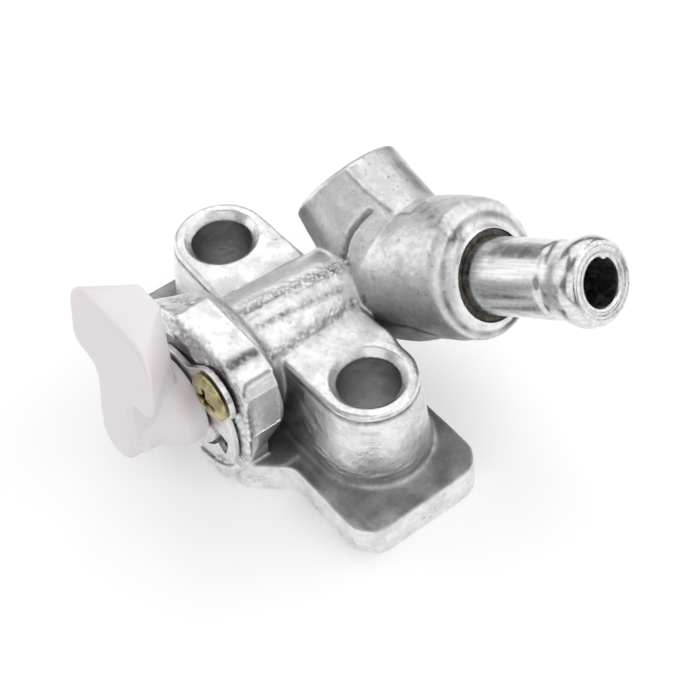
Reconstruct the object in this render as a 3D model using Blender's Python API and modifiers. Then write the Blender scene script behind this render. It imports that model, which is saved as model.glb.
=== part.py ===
"""Fuel tap with a die-cast body, a rotary disc valve turned by a moulded lever, and a pressed-in hose tube.

The frame: the origin is on the underside of the base flange, midway between the two bolt holes. X runs along
the two bolts, Y along the barrel towards the hose end, and Z up from the base face. Sizes are in metres.
"""

import math

import bmesh
import bpy
from mathutils import Matrix, Vector

MM = 0.001

# Gaps between pieces
SEAT_GAP = 0.2 * MM
RUNNING_GAP = 0.2 * MM

# Base flange and its two bolt bosses
BOLT_SPACING = 25.4 * MM
BOLT_HOLE_DIAMETER = 6.44 * MM
BOLT_CHAMFER = 0.8 * MM
FLANGE_THICKNESS = 4.0 * MM
FLANGE_LEFT_END = 6.9 * MM
FLANGE_RIGHT_END = 9.7 * MM
FLANGE_BACK = 7.2 * MM
FLANGE_FRONT = 8.7 * MM
FLANGE_LEFT_CORNER = 2.0 * MM
FLANGE_RIGHT_CORNER = 3.2 * MM
FLANGE_EDGE = 0.35 * MM
LOBE_FOOT_WIDTH = 20.8 * MM
LOBE_WIDTH = 13.0 * MM
LOBE_FRONT = 12.6 * MM
LOBE_CORNER = 1.6 * MM
BOSS_RISE = 10.0 * MM
BOSS_RADIUS = 5.15 * MM
BOSS_DRAFT = 5.5
BOSS_TAPER = 1.4
BOSS_FOOT_FILLET = 0.8 * MM
BOSS_EDGE = 0.3 * MM

# Barrel, which carries fuel from the valve to the elbow
BARREL_HEIGHT = 11.0 * MM
BARREL_FRONT_RADIUS = 6.3 * MM
BARREL_BACK_RADIUS = 5.2 * MM
BARREL_BORE = 3.4 * MM
SADDLE_WIDTH = 9.0 * MM
ELBOW_PLACE = 11.9 * MM
SEAM_WIDTH = 0.9 * MM
SEAM_HEIGHT = 0.3 * MM
SEAM_LEAN = 9.0

# Valve housing at the front of the barrel
HOUSING_FRONT = 13.2 * MM
HOUSING_LENGTH = 5.9 * MM
HOUSING_RADIUS = 9.9 * MM
HOUSING_BACK_RADIUS = 8.0 * MM
CHAMBER_RADIUS = 6.4 * MM
CHAMBER_DEPTH = 4.6 * MM
SCREW_CIRCLE_RADIUS = 8.4 * MM
SCREW_ANGLE = 41.0
LUG_TOP = 10.0 * MM
LUG_SIDE = 10.8 * MM
LUG_CUT = 2.6 * MM
LUG_DEPTH = 4.2 * MM
FOOT_RADIUS = 4.4 * MM
FOOT_DISTANCE = 6.3 * MM
FOOT_ANGLE = -62.0
FOOT_RISE = 0.7 * MM
FOOT_DEPTH = 4.6 * MM
RIM_CHAMFER = 0.3 * MM
SHOULDER_LENGTH = 1.1 * MM
SCREW_HOLE_DEPTH = 3.3 * MM

# Inlet on the base face, with its ring seal
INLET_PLACE = 6.7 * MM
INLET_MOUTH_DIAMETER = 6.0 * MM
INLET_MOUTH_DEPTH = 2.6 * MM
INLET_BORE = 3.4 * MM
INLET_BORE_PLACE = 5.6 * MM
PORT_RADIUS = 4.1 * MM
PORT_DIAMETER = 2.6 * MM
RING_SECTION = 1.5 * MM
RING_LAND = 0.9 * MM

# Spigot boss and blank arm at the elbow
SPIGOT_AZIMUTH = 12.2
SPIGOT_RISE = 30.1
SPIGOT_LENGTH = 16.8 * MM
SPIGOT_RADIUS = 7.35 * MM
COLLAR_RADIUS = 6.1 * MM
COLLAR_LENGTH = 0.8 * MM
COLLAR_EDGE = 0.15 * MM
SPIGOT_SOCKET_DEPTH = 7.0 * MM
SPIGOT_BORE = 3.0 * MM
SPIGOT_RECESS_WIDTH = 1.1 * MM
SPIGOT_RECESS_DEPTH = 1.0 * MM
ARM_AZIMUTH = 180.0
ARM_RISE = 28.5
ARM_OFFSET = 3.9 * MM
ARM_LENGTH = 11.8 * MM
ARM_RADIUS = 6.2 * MM
ARM_DRAFT = 5.0
ARM_ROOT_STEP = 0.35 * MM
ARM_EDGE = 0.4 * MM

# Hose tube
TUBE_DIAMETER = 7.85 * MM
TUBE_BORE = 4.55 * MM
TUBE_LENGTH = 14.6 * MM
BEAD_DIAMETER = 8.9 * MM
BEAD_LENGTH = 4.6 * MM
BEAD_NOSE = 1.5 * MM
NECK_DEPTH = 0.18 * MM

# Rotor and lever, one moulding
ROTOR_THICKNESS = 1.8 * MM
ROTOR_SLOT_WIDTH = 2.4 * MM
HUB_RADIUS = 3.25 * MM
HUB_FLANGE_RADIUS = 4.9 * MM
HUB_FLANGE_FRONT = 16.6 * MM
HUB_NECK_PLACE = 18.8 * MM
HUB_FRONT = 20.6 * MM
LEVER_TRAVEL = 90.0
LEVER_FRONT = 22.2 * MM
LEVER_LEAN = 7.0
LEVER_BACK = 15.3 * MM
LEVER_BACK_WIDTH = 3.6 * MM
LEVER_STEM_WIDTH = 6.1 * MM
LEVER_HEAD_WIDTH = 14.8 * MM
LEVER_HEAD_START = 6.9 * MM
LEVER_HEAD_SLOPE = 0.6 * MM
LEVER_FILLET = 1.0 * MM
LEVER_SHOULDER_CORNER = 1.9 * MM
LEVER_TOP_CORNER = 3.4 * MM
LEVER_LENGTH = 16.0 * MM
LEVER_EDGE = 0.7 * MM
STOP_RADIUS = 5.8 * MM
STOP_FROM = -76.0
STOP_TO = -10.0
STOP_PLAY = 3.0
STOP_GAP = 0.4 * MM

# Pieces held in the chamber and in front of it
SEAL_THICKNESS = 1.3 * MM
SEAL_KEY_WIDTH = 2.2 * MM
SEAL_KEY_HEIGHT = 0.8 * MM
WASHER_WIDTH = 1.5 * MM
WASHER_THICKNESS = 0.3 * MM
WASHER_WAVE = 0.22 * MM
WASHER_WAVES = 3
PLATE_THICKNESS = 0.6 * MM
PLATE_WALL = 2.15 * MM
PLATE_RING = 1.2 * MM
PLATE_SHOULDER = 2.6 * MM
PLATE_SHOULDER_FROM = -28.0
PLATE_EAR_RADIUS = 3.0 * MM
NOTCH_ANGLE = 24.0
NOTCH_WIDTH = 1.4 * MM
SCREW_DIAMETER = 2.6 * MM
SCREW_LENGTH = 4.0 * MM
SCREW_HEAD_DIAMETER = 5.3 * MM
SCREW_HEAD_HEIGHT = 0.9 * MM
RECESS_WIDTH = 0.6 * MM
RECESS_LENGTH = 2.9 * MM
RECESS_DEPTH = 0.65 * MM

ROUND_STEPS = 48
HOLE_STEPS = 24
BOSS_STEPS = 20
FULL_TURN = 360

BOSS_TOP = FLANGE_THICKNESS + BOSS_RISE
BARREL_AXIS = Vector((0, 0, BARREL_HEIGHT))
OVERLAP = 1.0 * MM
MERGE = 0.001 * MM
CUTTERS = "cutters"


def clear_scene():
    """Remove every object, so that the model starts from an empty scene."""
    for item in list(bpy.data.objects):
        bpy.data.objects.remove(item, do_unlink=True)


def new_collection(name):
    group = bpy.data.collections.new(name)
    bpy.context.scene.collection.children.link(group)
    return group


def material(name, colour, roughness, metallic=0.0):
    finish = bpy.data.materials.new(name)
    finish.use_nodes = True
    shader = finish.node_tree.nodes["Principled BSDF"]
    shader.inputs["Base Color"].default_value = (*colour, 1.0)
    shader.inputs["Roughness"].default_value = roughness
    shader.inputs["Metallic"].default_value = metallic
    finish.diffuse_color = (*colour, 1.0)
    return finish


def along(direction, origin=(0, 0, 0)):
    """A frame at origin whose Z axis points along direction."""
    turn = Vector(direction).to_track_quat("Z", "Y").to_matrix().to_4x4()
    return Matrix.Translation(origin) @ turn


def front_frame(distance=0.0, turn=0.0):
    """A frame on the barrel's axis, looked at from the lever end.

    Its X is the part's X, its Y is up, and its Z points out of the valve housing. turn is in degrees,
    anticlockwise as seen from the lever end.
    """
    axes = Matrix(((1, 0, 0), (0, 0, -1), (0, 1, 0))).to_4x4()
    spin = Matrix.Rotation(math.radians(turn), 4, "Z")
    return Matrix.Translation(BARREL_AXIS) @ axes @ Matrix.Translation((0, 0, distance)) @ spin


def heading(azimuth, rise):
    """The unit vector at an azimuth from +X and a rise above the horizontal, in degrees."""
    flat = math.cos(math.radians(rise))
    azimuth = math.radians(azimuth)
    return Vector((flat * math.cos(azimuth), flat * math.sin(azimuth), math.sin(math.radians(rise))))


def polar(radius, degrees):
    angle = math.radians(degrees)
    return Vector((radius * math.cos(angle), radius * math.sin(angle)))


def arc(centre, radius, start, end, steps):
    """Points along a circular arc, both ends included, with its angles in degrees."""
    turns = (start + (end - start) * i / steps for i in range(steps + 1))
    return [Vector(centre) + polar(radius, turn) for turn in turns]


def circle(centre, radius):
    """Points round a full circle, for a hole in a flat outline."""
    step = FULL_TURN / HOLE_STEPS
    return arc(centre, radius, 0, FULL_TURN - step, HOLE_STEPS - 1)


def rounded(corners, steps=5):
    """An outline with its corners rounded: corners holds (x, y, radius), in order round the outline."""
    points = []
    for i, (x, y, radius) in enumerate(corners):
        here = Vector((x, y))
        to_last = (Vector(corners[i - 1][:2]) - here).normalized()
        to_next = (Vector(corners[(i + 1) % len(corners)][:2]) - here).normalized()
        half = to_last.angle(to_next) / 2
        if radius == 0:
            points.append(here)
            continue
        centre = here + (to_last + to_next).normalized() * radius / math.sin(half)
        first = here + to_last * radius / math.tan(half) - centre
        last = here + to_next * radius / math.tan(half) - centre
        sweep = first.angle_signed(last)
        for step in range(steps + 1):
            points.append(centre + Matrix.Rotation(-sweep * step / steps, 2) @ first)
    return points


def place_object(name, mesh, place, group, finish=None):
    item = bpy.data.objects.new(name, mesh)
    item.matrix_world = place
    group.objects.link(item)
    if finish:
        mesh.materials.append(finish)
    if group.name == CUTTERS:
        item.hide_render = True
        item.display_type = "WIRE"
    return item


def turned(name, profile, place, group, finish=None, steps=None, closed=False):
    """A solid of revolution about its frame's Z axis.

    profile holds (radius, height) down the outer side. A closed profile is a ring that leaves a bore.
    """
    mesh = bpy.data.meshes.new(name)
    last = len(profile) - 1
    edges = [(i, i + 1) for i in range(last)]
    if closed:
        edges.append((last, 0))
    mesh.from_pydata([(radius, 0, height) for radius, height in profile], edges, [])
    item = place_object(name, mesh, place, group, finish)
    screw = item.modifiers.new("Turn", "SCREW")
    screw.steps = screw.render_steps = steps or ROUND_STEPS
    screw.use_merge_vertices = True
    screw.merge_threshold = MERGE
    screw.use_smooth_shade = True
    return item


def cylinder(name, radius, start, end, place, group, finish=None):
    """A plain round bar from start to end along its frame's Z axis."""
    profile = [(0, end), (radius, end), (radius, start), (0, start)]
    return turned(name, profile, place, group, finish)


def flat_shape(name, outlines, start, end, place, group, finish=None):
    """A flat outline, with holes as further outlines, thickened from start to end along its frame's Z axis."""
    curve = bpy.data.curves.new(name, "CURVE")
    curve.dimensions = "2D"
    curve.fill_mode = "BOTH"
    curve.extrude = (end - start) / 2
    for outline in outlines:
        spline = curve.splines.new("POLY")
        spline.points.add(len(outline) - 1)
        spline.use_cyclic_u = True
        for point, (x, y) in zip(spline.points, outline):
            point.co = (x, y, 0, 1)
    guide = bpy.data.objects.new(name, curve)
    bpy.context.scene.collection.objects.link(guide)
    graph = bpy.context.evaluated_depsgraph_get()
    mesh = bpy.data.meshes.new_from_object(guide.evaluated_get(graph))
    bpy.data.objects.remove(guide)
    mesh.transform(Matrix.Translation((0, 0, (start + end) / 2)))
    shape = bmesh.new()
    shape.from_mesh(mesh)
    bmesh.ops.remove_doubles(shape, verts=shape.verts, dist=MERGE)
    bmesh.ops.recalc_face_normals(shape, faces=shape.faces)
    bmesh.ops.dissolve_limit(shape, angle_limit=0.001, verts=shape.verts, edges=shape.edges)
    shape.to_mesh(mesh)
    shape.free()
    return place_object(name, mesh, place, group, finish)


def box(name, low, high, place, group):
    shape = bmesh.new()
    bmesh.ops.create_cube(shape, size=1.0)
    size = Vector(high) - Vector(low)
    middle = (Vector(high) + Vector(low)) / 2
    bmesh.ops.scale(shape, vec=size, verts=shape.verts)
    bmesh.ops.translate(shape, vec=middle, verts=shape.verts)
    mesh = bpy.data.meshes.new(name)
    shape.to_mesh(mesh)
    shape.free()
    return place_object(name, mesh, place, group)


def loft(name, rings, place, group):
    """A solid through rings of equal point counts, listed from the bottom up, each anticlockwise from above."""
    count = len(rings[0])
    points = [point for ring in rings for point in ring]
    faces = [tuple(reversed(range(count))), tuple(range((len(rings) - 1) * count, len(rings) * count))]
    for level in range(len(rings) - 1):
        low, high = level * count, (level + 1) * count
        for i in range(count):
            j = (i + 1) % count
            faces.append((low + i, low + j, high + j, high + i))
    mesh = bpy.data.meshes.new(name)
    mesh.from_pydata(points, [], faces)
    shape = bmesh.new()
    shape.from_mesh(mesh)
    bmesh.ops.triangulate(shape, faces=shape.faces)
    shape.to_mesh(mesh)
    shape.free()
    return place_object(name, mesh, place, group)


def inset(outline, depth):
    """An anticlockwise outline moved inwards, with each point along the mean of its two sides' normals."""
    points = []
    for i, here in enumerate(outline):
        before = (here - outline[i - 1]).normalized()
        after = (outline[(i + 1) % len(outline)] - here).normalized()
        normal = Vector((-before.y - after.y, before.x + after.x)).normalized()
        points.append(here + normal * depth / max(0.3, normal.dot(Vector((-after.y, after.x)))))
    return points


def cushion(name, outline, start, end, edges, place, group, finish=None):
    """A flat outline thickened from start to end, with its rims rounded by the two radii in edges."""
    rings = []
    low, high = edges
    for step in range(4):
        turn = math.radians(90 - 30 * step)
        rise = start + low * (1 - math.sin(turn))
        rings.append((rise, low * (1 - math.cos(turn))))
    for step in range(4):
        turn = math.radians(30 * step)
        rings.append((end - high * (1 - math.sin(turn)), high * (1 - math.cos(turn))))
    levels = []
    for height, depth in rings:
        levels.append([(x, y, height) for x, y in inset(outline, depth)])
    item = loft(name, levels, place, group)
    if finish:
        item.data.materials.append(finish)
    return item


def combine(item, operands, operation):
    """Join or cut with all the operands in one pass, so that no rounding comes in between."""
    group = new_collection(f"{item.name}_{operation.lower()}")
    for operand in operands:
        group.objects.link(operand)
        if operand.modifiers:
            operand.modifiers.new("Triangles", "TRIANGULATE")
    change = item.modifiers.new(group.name, "BOOLEAN")
    change.operation = operation
    change.solver = "EXACT"
    change.operand_type = "COLLECTION"
    change.collection = group


# Places that several pieces share, as distances along the barrel from the bolt line towards the lever
CHAMBER_FLOOR = HOUSING_FRONT - CHAMBER_DEPTH
SEAL_BACK = CHAMBER_FLOOR + SEAT_GAP
SEAL_FRONT = SEAL_BACK + SEAL_THICKNESS
ROTOR_BACK = SEAL_FRONT + RUNNING_GAP
ROTOR_FRONT = ROTOR_BACK + ROTOR_THICKNESS
PLATE_BACK = HOUSING_FRONT + SEAT_GAP
PLATE_FRONT = PLATE_BACK + PLATE_THICKNESS
HEAD_BACK = PLATE_FRONT + SEAT_GAP
STOP_FRONT = PLATE_FRONT
HUB_FLANGE_BACK = PLATE_FRONT + RUNNING_GAP

# Radii that a piece shares with the one it fits
HUB_HOLE_RADIUS = HUB_RADIUS + RUNNING_GAP
WINDOW_RADIUS = STOP_RADIUS + STOP_GAP
RING_RADIUS = WINDOW_RADIUS + PLATE_RING
SHOULDER_RADIUS = WINDOW_RADIUS + PLATE_SHOULDER
ROTOR_RADIUS = CHAMBER_RADIUS - RUNNING_GAP
SCREW_HOLE_RADIUS = SCREW_DIAMETER / 2 + SEAT_GAP
GROOVE_INNER = INLET_MOUTH_DIAMETER / 2 + RING_LAND
RING_CIRCLE = GROOVE_INNER + SEAT_GAP + RING_SECTION / 2
GROOVE_OUTER = RING_CIRCLE + RING_SECTION / 2 + SEAT_GAP
SOCKET_RADIUS = TUBE_DIAMETER / 2 + SEAT_GAP

# The elbow: the spigot's axis meets the barrel's, and the blank arm meets the spigot's a little further out
ELBOW = Vector((0, ELBOW_PLACE, BARREL_HEIGHT))
SPIGOT_AXIS = heading(SPIGOT_AZIMUTH, SPIGOT_RISE)
ARM_AXIS = heading(ARM_AZIMUTH, ARM_RISE)
ARM_ROOT = ELBOW + SPIGOT_AXIS * ARM_OFFSET
ARM_ROOT_RADIUS = ARM_RADIUS + ARM_LENGTH * math.tan(math.radians(ARM_DRAFT))
SPIGOT_FRAME = along(SPIGOT_AXIS, ELBOW)


def flange_outline():
    """The base flange seen from above, with the lobe that carries the inlet under the valve housing."""
    foot = LOBE_FOOT_WIDTH / 2
    tip = LOBE_WIDTH / 2
    sides = []
    for length, corner in ((FLANGE_RIGHT_END, FLANGE_RIGHT_CORNER), (FLANGE_LEFT_END, FLANGE_LEFT_CORNER)):
        end = BOLT_SPACING / 2 + length
        side = [
            (tip, -LOBE_FRONT, LOBE_CORNER),
            (foot, -FLANGE_FRONT, LOBE_CORNER),
            (end, -FLANGE_FRONT, corner),
            (end, FLANGE_BACK, corner),
        ]
        sides.append(side)
    right, left = sides
    return rounded(right + [(-x, y, radius) for x, y, radius in reversed(left)])


def boss_rings(side):
    """Level outlines of a drafted bolt boss, a tongue whose round end lies over the bolt hole."""
    foot = FLANGE_THICKNESS + BOSS_FOOT_FILLET
    slope = math.tan(math.radians(BOSS_DRAFT))
    wall = BOSS_RADIUS + (BOSS_TOP - foot) * slope
    levels = []
    for step in range(4):
        turn = math.radians(67.5 - 22.5 * step)
        rise = FLANGE_THICKNESS + BOSS_FOOT_FILLET * (1 - math.sin(turn))
        levels.append((rise, wall + BOSS_FOOT_FILLET * (1 - math.cos(turn))))
    levels.insert(0, (FLANGE_THICKNESS - OVERLAP, levels[0][1]))
    levels.append((BOSS_TOP - BOSS_EDGE, BOSS_RADIUS + BOSS_EDGE * slope))
    levels.append((BOSS_TOP, BOSS_RADIUS - BOSS_EDGE))
    centre = (BOLT_SPACING / 2, 0)
    reach = BOLT_SPACING / 2 - SADDLE_WIDTH / 4
    spread = reach * math.tan(math.radians(BOSS_TAPER))
    rings = []
    for height, radius in levels:
        ring = arc(centre, radius, BOSS_TAPER - 90, 90 - BOSS_TAPER, BOSS_STEPS)
        ring.append(Vector((SADDLE_WIDTH / 4, radius + spread)))
        ring.append(Vector((SADDLE_WIDTH / 4, -radius - spread)))
        if side < 0:
            ring = [Vector((-x, y)) for x, y in reversed(ring)]
        rings.append([(x, y, height) for x, y in ring])
    return rings


def lug_outline():
    """A screw lug of the valve housing, seen from the lever end: flat on top and outside, cut at the corner."""
    return [
        Vector((-OVERLAP, LUG_TOP)),
        Vector((-OVERLAP, CHAMBER_RADIUS - OVERLAP)),
        Vector((CHAMBER_RADIUS - OVERLAP, OVERLAP)),
        Vector((LUG_SIDE - LUG_CUT / 6, OVERLAP)),
        Vector((LUG_SIDE, LUG_TOP - LUG_CUT)),
        Vector((LUG_SIDE - LUG_CUT / 3, LUG_TOP - LUG_CUT / 2)),
        Vector((LUG_SIDE - LUG_CUT * 1.25, LUG_TOP)),
    ]


def spigot_profile():
    """The spigot boss, as heights along it from the elbow: a collar, a rounded shoulder and a domed lower end."""
    shoulder = SPIGOT_RADIUS - COLLAR_RADIUS
    collar_foot = SPIGOT_LENGTH - COLLAR_LENGTH
    profile = [
        (0, SPIGOT_LENGTH),
        (COLLAR_RADIUS - COLLAR_EDGE, SPIGOT_LENGTH),
        (COLLAR_RADIUS, SPIGOT_LENGTH - COLLAR_EDGE),
    ]
    for step in range(6):
        turn = math.radians(90 - 18 * step)
        rise = collar_foot - shoulder * (1 - math.sin(turn))
        profile.append((COLLAR_RADIUS + shoulder * math.cos(turn), rise))
    return profile + dome(SPIGOT_RADIUS, ARM_OFFSET)


def dome(radius, height):
    """The points of a profile's domed lower end, centred at a height on the axis."""
    turns = (math.radians(90 * step / 10) for step in range(10))
    points = [(radius * math.cos(turn), height - radius * math.sin(turn)) for turn in turns]
    return points + [(0, height - radius)]


def body_shapes(cutters):
    """The solids that the casting is made of, apart from the flange."""
    housing_back = HOUSING_FRONT - HOUSING_LENGTH
    housing = [
        (0, HOUSING_FRONT),
        (HOUSING_RADIUS - RIM_CHAMFER, HOUSING_FRONT),
        (HOUSING_RADIUS, HOUSING_FRONT - RIM_CHAMFER),
        (HOUSING_BACK_RADIUS, housing_back),
        (BARREL_FRONT_RADIUS - SHOULDER_LENGTH / 2, housing_back - SHOULDER_LENGTH),
        (0, housing_back - SHOULDER_LENGTH),
    ]
    barrel = [(0, housing_back + OVERLAP / 2), (BARREL_FRONT_RADIUS, housing_back + OVERLAP / 2)]
    barrel += dome(BARREL_BACK_RADIUS, -ELBOW_PLACE)
    arm = [(0, ARM_LENGTH), (ARM_RADIUS - ARM_EDGE, ARM_LENGTH), (ARM_RADIUS, ARM_LENGTH - ARM_EDGE)]
    arm.append((ARM_ROOT_RADIUS, 0))
    arm += dome(ARM_ROOT_RADIUS - ARM_ROOT_STEP, 0)
    foot_place = polar(FOOT_DISTANCE, FOOT_ANGLE)
    foot_frame = front_frame() @ Matrix.Translation((*foot_place, 0))
    shapes = [loft(f"boss_{side}", boss_rings(side), Matrix(), cutters) for side in (-1, 1)]
    shapes.append(turned("barrel", barrel, front_frame(), cutters))
    shapes.append(saddle(cutters))
    shapes.append(turned("housing", housing, front_frame(), cutters))
    for turn in (0, 180):
        front = HOUSING_FRONT - RIM_CHAMFER / 2
        frame = front_frame(0, turn)
        shapes.append(flat_shape(f"lug_{turn}", [lug_outline()], front - LUG_DEPTH, front, frame, cutters))
    foot_end = HOUSING_FRONT + FOOT_RISE
    shapes.append(cylinder("foot", FOOT_RADIUS, foot_end - FOOT_DEPTH, foot_end, foot_frame, cutters))
    shapes.append(turned("arm", arm, along(ARM_AXIS, ARM_ROOT), cutters))
    shapes.append(turned("spigot", spigot_profile(), SPIGOT_FRAME, cutters))
    shapes.append(seam(cutters))
    return shapes


def saddle(group):
    """The cast web that joins the barrel's underside to the flange."""
    low = (-SADDLE_WIDTH / 2, OVERLAP - HOUSING_FRONT, FLANGE_THICKNESS - 1.5 * OVERLAP)
    high = (SADDLE_WIDTH / 2, FLANGE_BACK - 2 * FLANGE_EDGE, BARREL_HEIGHT)
    return box("saddle", low, high, Matrix(), group)


def seam(group):
    """The thin ridge that the casting die leaves along the top of the barrel."""
    crest = HOUSING_FRONT - HOUSING_LENGTH + OVERLAP
    ends = ((-ELBOW_PLACE, BARREL_BACK_RADIUS), (crest, BARREL_FRONT_RADIUS))
    rings = []
    for distance, radius in ends:
        ring = []
        for x, rise in ((-1, -OVERLAP), (1, -OVERLAP), (1, 0), (0.4, SEAM_HEIGHT), (-0.4, SEAM_HEIGHT), (-1, 0)):
            ring.append((x * SEAM_WIDTH / 2, radius + rise, distance))
        rings.append(ring)
    return loft("seam", rings, front_frame(0, -SEAM_LEAN), group)


def body_cuts(cutters):
    """The holes of the casting."""
    cuts = []
    radius = BOLT_HOLE_DIAMETER / 2
    bolt = [
        (0, BOSS_TOP + OVERLAP),
        (radius + BOLT_CHAMFER + OVERLAP, BOSS_TOP + OVERLAP),
        (radius, BOSS_TOP - BOLT_CHAMFER),
        (radius, -OVERLAP),
        (0, -OVERLAP),
    ]
    for side in (-1, 1):
        place = Matrix.Translation((side * BOLT_SPACING / 2, 0, 0))
        cuts.append(turned(f"bolt_hole_{side}", bolt, place, cutters))
    outside = HOUSING_FRONT + FOOT_RISE + OVERLAP
    bore_end = ELBOW_PLACE + BARREL_BORE / 4
    plate_room = SHOULDER_RADIUS + SEAT_GAP
    cuts.append(cylinder("plate_room", plate_room, HOUSING_FRONT + SEAT_GAP / 4, outside, front_frame(), cutters))
    cuts.append(cylinder("chamber", CHAMBER_RADIUS, CHAMBER_FLOOR, outside, front_frame(), cutters))
    key_low = (-SEAL_KEY_WIDTH / 2 - SEAT_GAP, CHAMBER_RADIUS - OVERLAP, CHAMBER_FLOOR + SEAT_GAP / 2)
    key_high = (SEAL_KEY_WIDTH / 2 + SEAT_GAP, CHAMBER_RADIUS + SEAL_KEY_HEIGHT, outside)
    cuts.append(box("seal_key_slot", key_low, key_high, front_frame(), cutters))
    cuts.append(cylinder("barrel_bore", BARREL_BORE / 2, -bore_end, outside, front_frame(), cutters))
    port_frame = front_frame() @ Matrix.Translation((0, -PORT_RADIUS, 0))
    cuts.append(cylinder("port", PORT_DIAMETER / 2, INLET_BORE_PLACE, outside, port_frame, cutters))
    bore_top = BARREL_HEIGHT - PORT_RADIUS + PORT_DIAMETER / 2
    bore_place = Matrix.Translation((0, -INLET_BORE_PLACE, 0))
    cuts.append(cylinder("inlet_bore", INLET_BORE / 2, OVERLAP, bore_top, bore_place, cutters))
    inlet_place = Matrix.Translation((0, -INLET_PLACE, 0))
    mouth = INLET_MOUTH_DIAMETER / 2
    cuts.append(cylinder("inlet_mouth", mouth, -OVERLAP, INLET_MOUTH_DEPTH, inlet_place, cutters))
    top = RING_SECTION + 2 * SEAT_GAP
    groove = [(GROOVE_OUTER, top), (GROOVE_OUTER, -OVERLAP), (GROOVE_INNER, -OVERLAP), (GROOVE_INNER, top)]
    cuts.append(turned("ring_groove", groove, inlet_place, cutters, closed=True))
    for turn in (SCREW_ANGLE, SCREW_ANGLE + 180):
        place = front_frame(0, turn) @ Matrix.Translation((SCREW_CIRCLE_RADIUS, 0, 0))
        deep = HOUSING_FRONT - SCREW_HOLE_DEPTH
        cuts.append(cylinder(f"screw_hole_{turn:.0f}", SCREW_HOLE_RADIUS, deep, outside, place, cutters))
    recess = SOCKET_RADIUS + SPIGOT_RECESS_WIDTH
    socket = [
        (0, SPIGOT_LENGTH + OVERLAP),
        (recess, SPIGOT_LENGTH + OVERLAP),
        (recess, SPIGOT_LENGTH - SPIGOT_RECESS_DEPTH),
        (SOCKET_RADIUS, SPIGOT_LENGTH - SPIGOT_RECESS_DEPTH),
        (SOCKET_RADIUS, SPIGOT_LENGTH - SPIGOT_SOCKET_DEPTH),
        (SPIGOT_BORE / 2, SPIGOT_LENGTH - SPIGOT_SOCKET_DEPTH),
        (SPIGOT_BORE / 2, -SPIGOT_BORE / 8),
        (0, -SPIGOT_BORE / 8),
    ]
    cuts.append(turned("spigot_bore", socket, SPIGOT_FRAME, cutters))
    return cuts


def make_body(pieces, cutters, finish):
    """The casting: flange, bosses, barrel, valve housing, blank arm and spigot boss, in one piece."""
    edges = (FLANGE_EDGE / 2, FLANGE_EDGE)
    body = cushion("tap_body", flange_outline(), 0, FLANGE_THICKNESS, edges, Matrix(), pieces, finish)
    combine(body, body_shapes(cutters), "UNION")
    combine(body, body_cuts(cutters), "DIFFERENCE")
    return body


def make_tube(pieces, finish):
    """The hose tube: plain in its socket, with a neck and a rounded bead at the free end."""
    radius = TUBE_DIAMETER / 2
    bead = BEAD_DIAMETER / 2
    tip = SPIGOT_LENGTH + TUBE_LENGTH
    root = SPIGOT_LENGTH - SPIGOT_SOCKET_DEPTH + SEAT_GAP
    profile = [(TUBE_BORE / 2, tip)]
    for step in range(7):
        turn = math.radians(90 - 15 * step)
        rise = tip - BEAD_NOSE * (1 - math.sin(turn))
        profile.append((bead - BEAD_NOSE * (1 - math.cos(turn)), rise))
    slope_end = tip - BEAD_LENGTH
    crest_end = tip - BEAD_NOSE
    for step in range(1, 7):
        share = step / 6
        ease = (1 - math.cos(math.pi * share)) / 2
        low = radius - NECK_DEPTH
        profile.append((bead + (low - bead) * ease, crest_end + (slope_end - crest_end) * share))
    profile.append((radius, slope_end - 4 * NECK_DEPTH))
    profile.append((radius, root))
    profile.append((TUBE_BORE / 2, root))
    tube = turned("hose_tube", profile, SPIGOT_FRAME, pieces, finish, closed=True)
    return tube


def lever_outline():
    """The lever's front, seen from the lever end and pointing up: a round end, a stem and a wide head."""
    stem = LEVER_STEM_WIDTH / 2
    head = LEVER_HEAD_WIDTH / 2
    right = [
        (stem, 0, 0),
        (stem, LEVER_HEAD_START, LEVER_FILLET),
        (head, LEVER_HEAD_START + LEVER_HEAD_SLOPE, LEVER_SHOULDER_CORNER),
        (head, LEVER_LENGTH, LEVER_TOP_CORNER),
    ]
    left = [(-x, y, radius) for x, y, radius in reversed(right)]
    return rounded(right + left) + arc((0, 0), stem, 180, FULL_TURN, 14)[1:-1]


def lever_back(outline):
    """The back of the lever, as many points as its front: as wide as the stem at the hub, then a narrow spine."""
    stem = LEVER_STEM_WIDTH / 2
    spine = LEVER_BACK_WIDTH / 2
    points = []
    for x, y in outline:
        share = min(1, max(0, y / LEVER_HEAD_START))
        wide = stem + (spine - stem) * share
        points.append(Vector((max(-wide, min(wide, x)), y)))
    return points


def lever_rings():
    """Rings from the lever's narrow back to its wide front, which leans back towards the top."""
    front = lever_outline()
    back = lever_back(front)
    deep = LEVER_FRONT - LEVER_BACK
    levels = [(0, LEVER_EDGE / 2), (LEVER_EDGE / 2 / deep, 0)]
    for step in range(4):
        turn = math.radians(30 * step)
        levels.append((1 - LEVER_EDGE * (1 - math.sin(turn)) / deep, LEVER_EDGE * (1 - math.cos(turn))))
    slope = math.tan(math.radians(LEVER_LEAN))
    rings = []
    for share, depth in levels:
        ring = []
        for low, high in zip(inset(back, depth), inset(front, depth)):
            x, y = low.lerp(high, share)
            ring.append((x, y, LEVER_BACK + (deep - slope * y) * share))
        rings.append(ring)
    return rings


def sector(inner, outer, start, end):
    """A ring sector's outline, anticlockwise, with angles in degrees."""
    steps = max(2, round((end - start) / 8))
    return arc((0, 0), outer, start, end, steps) + arc((0, 0), inner, end, start, steps)


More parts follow.
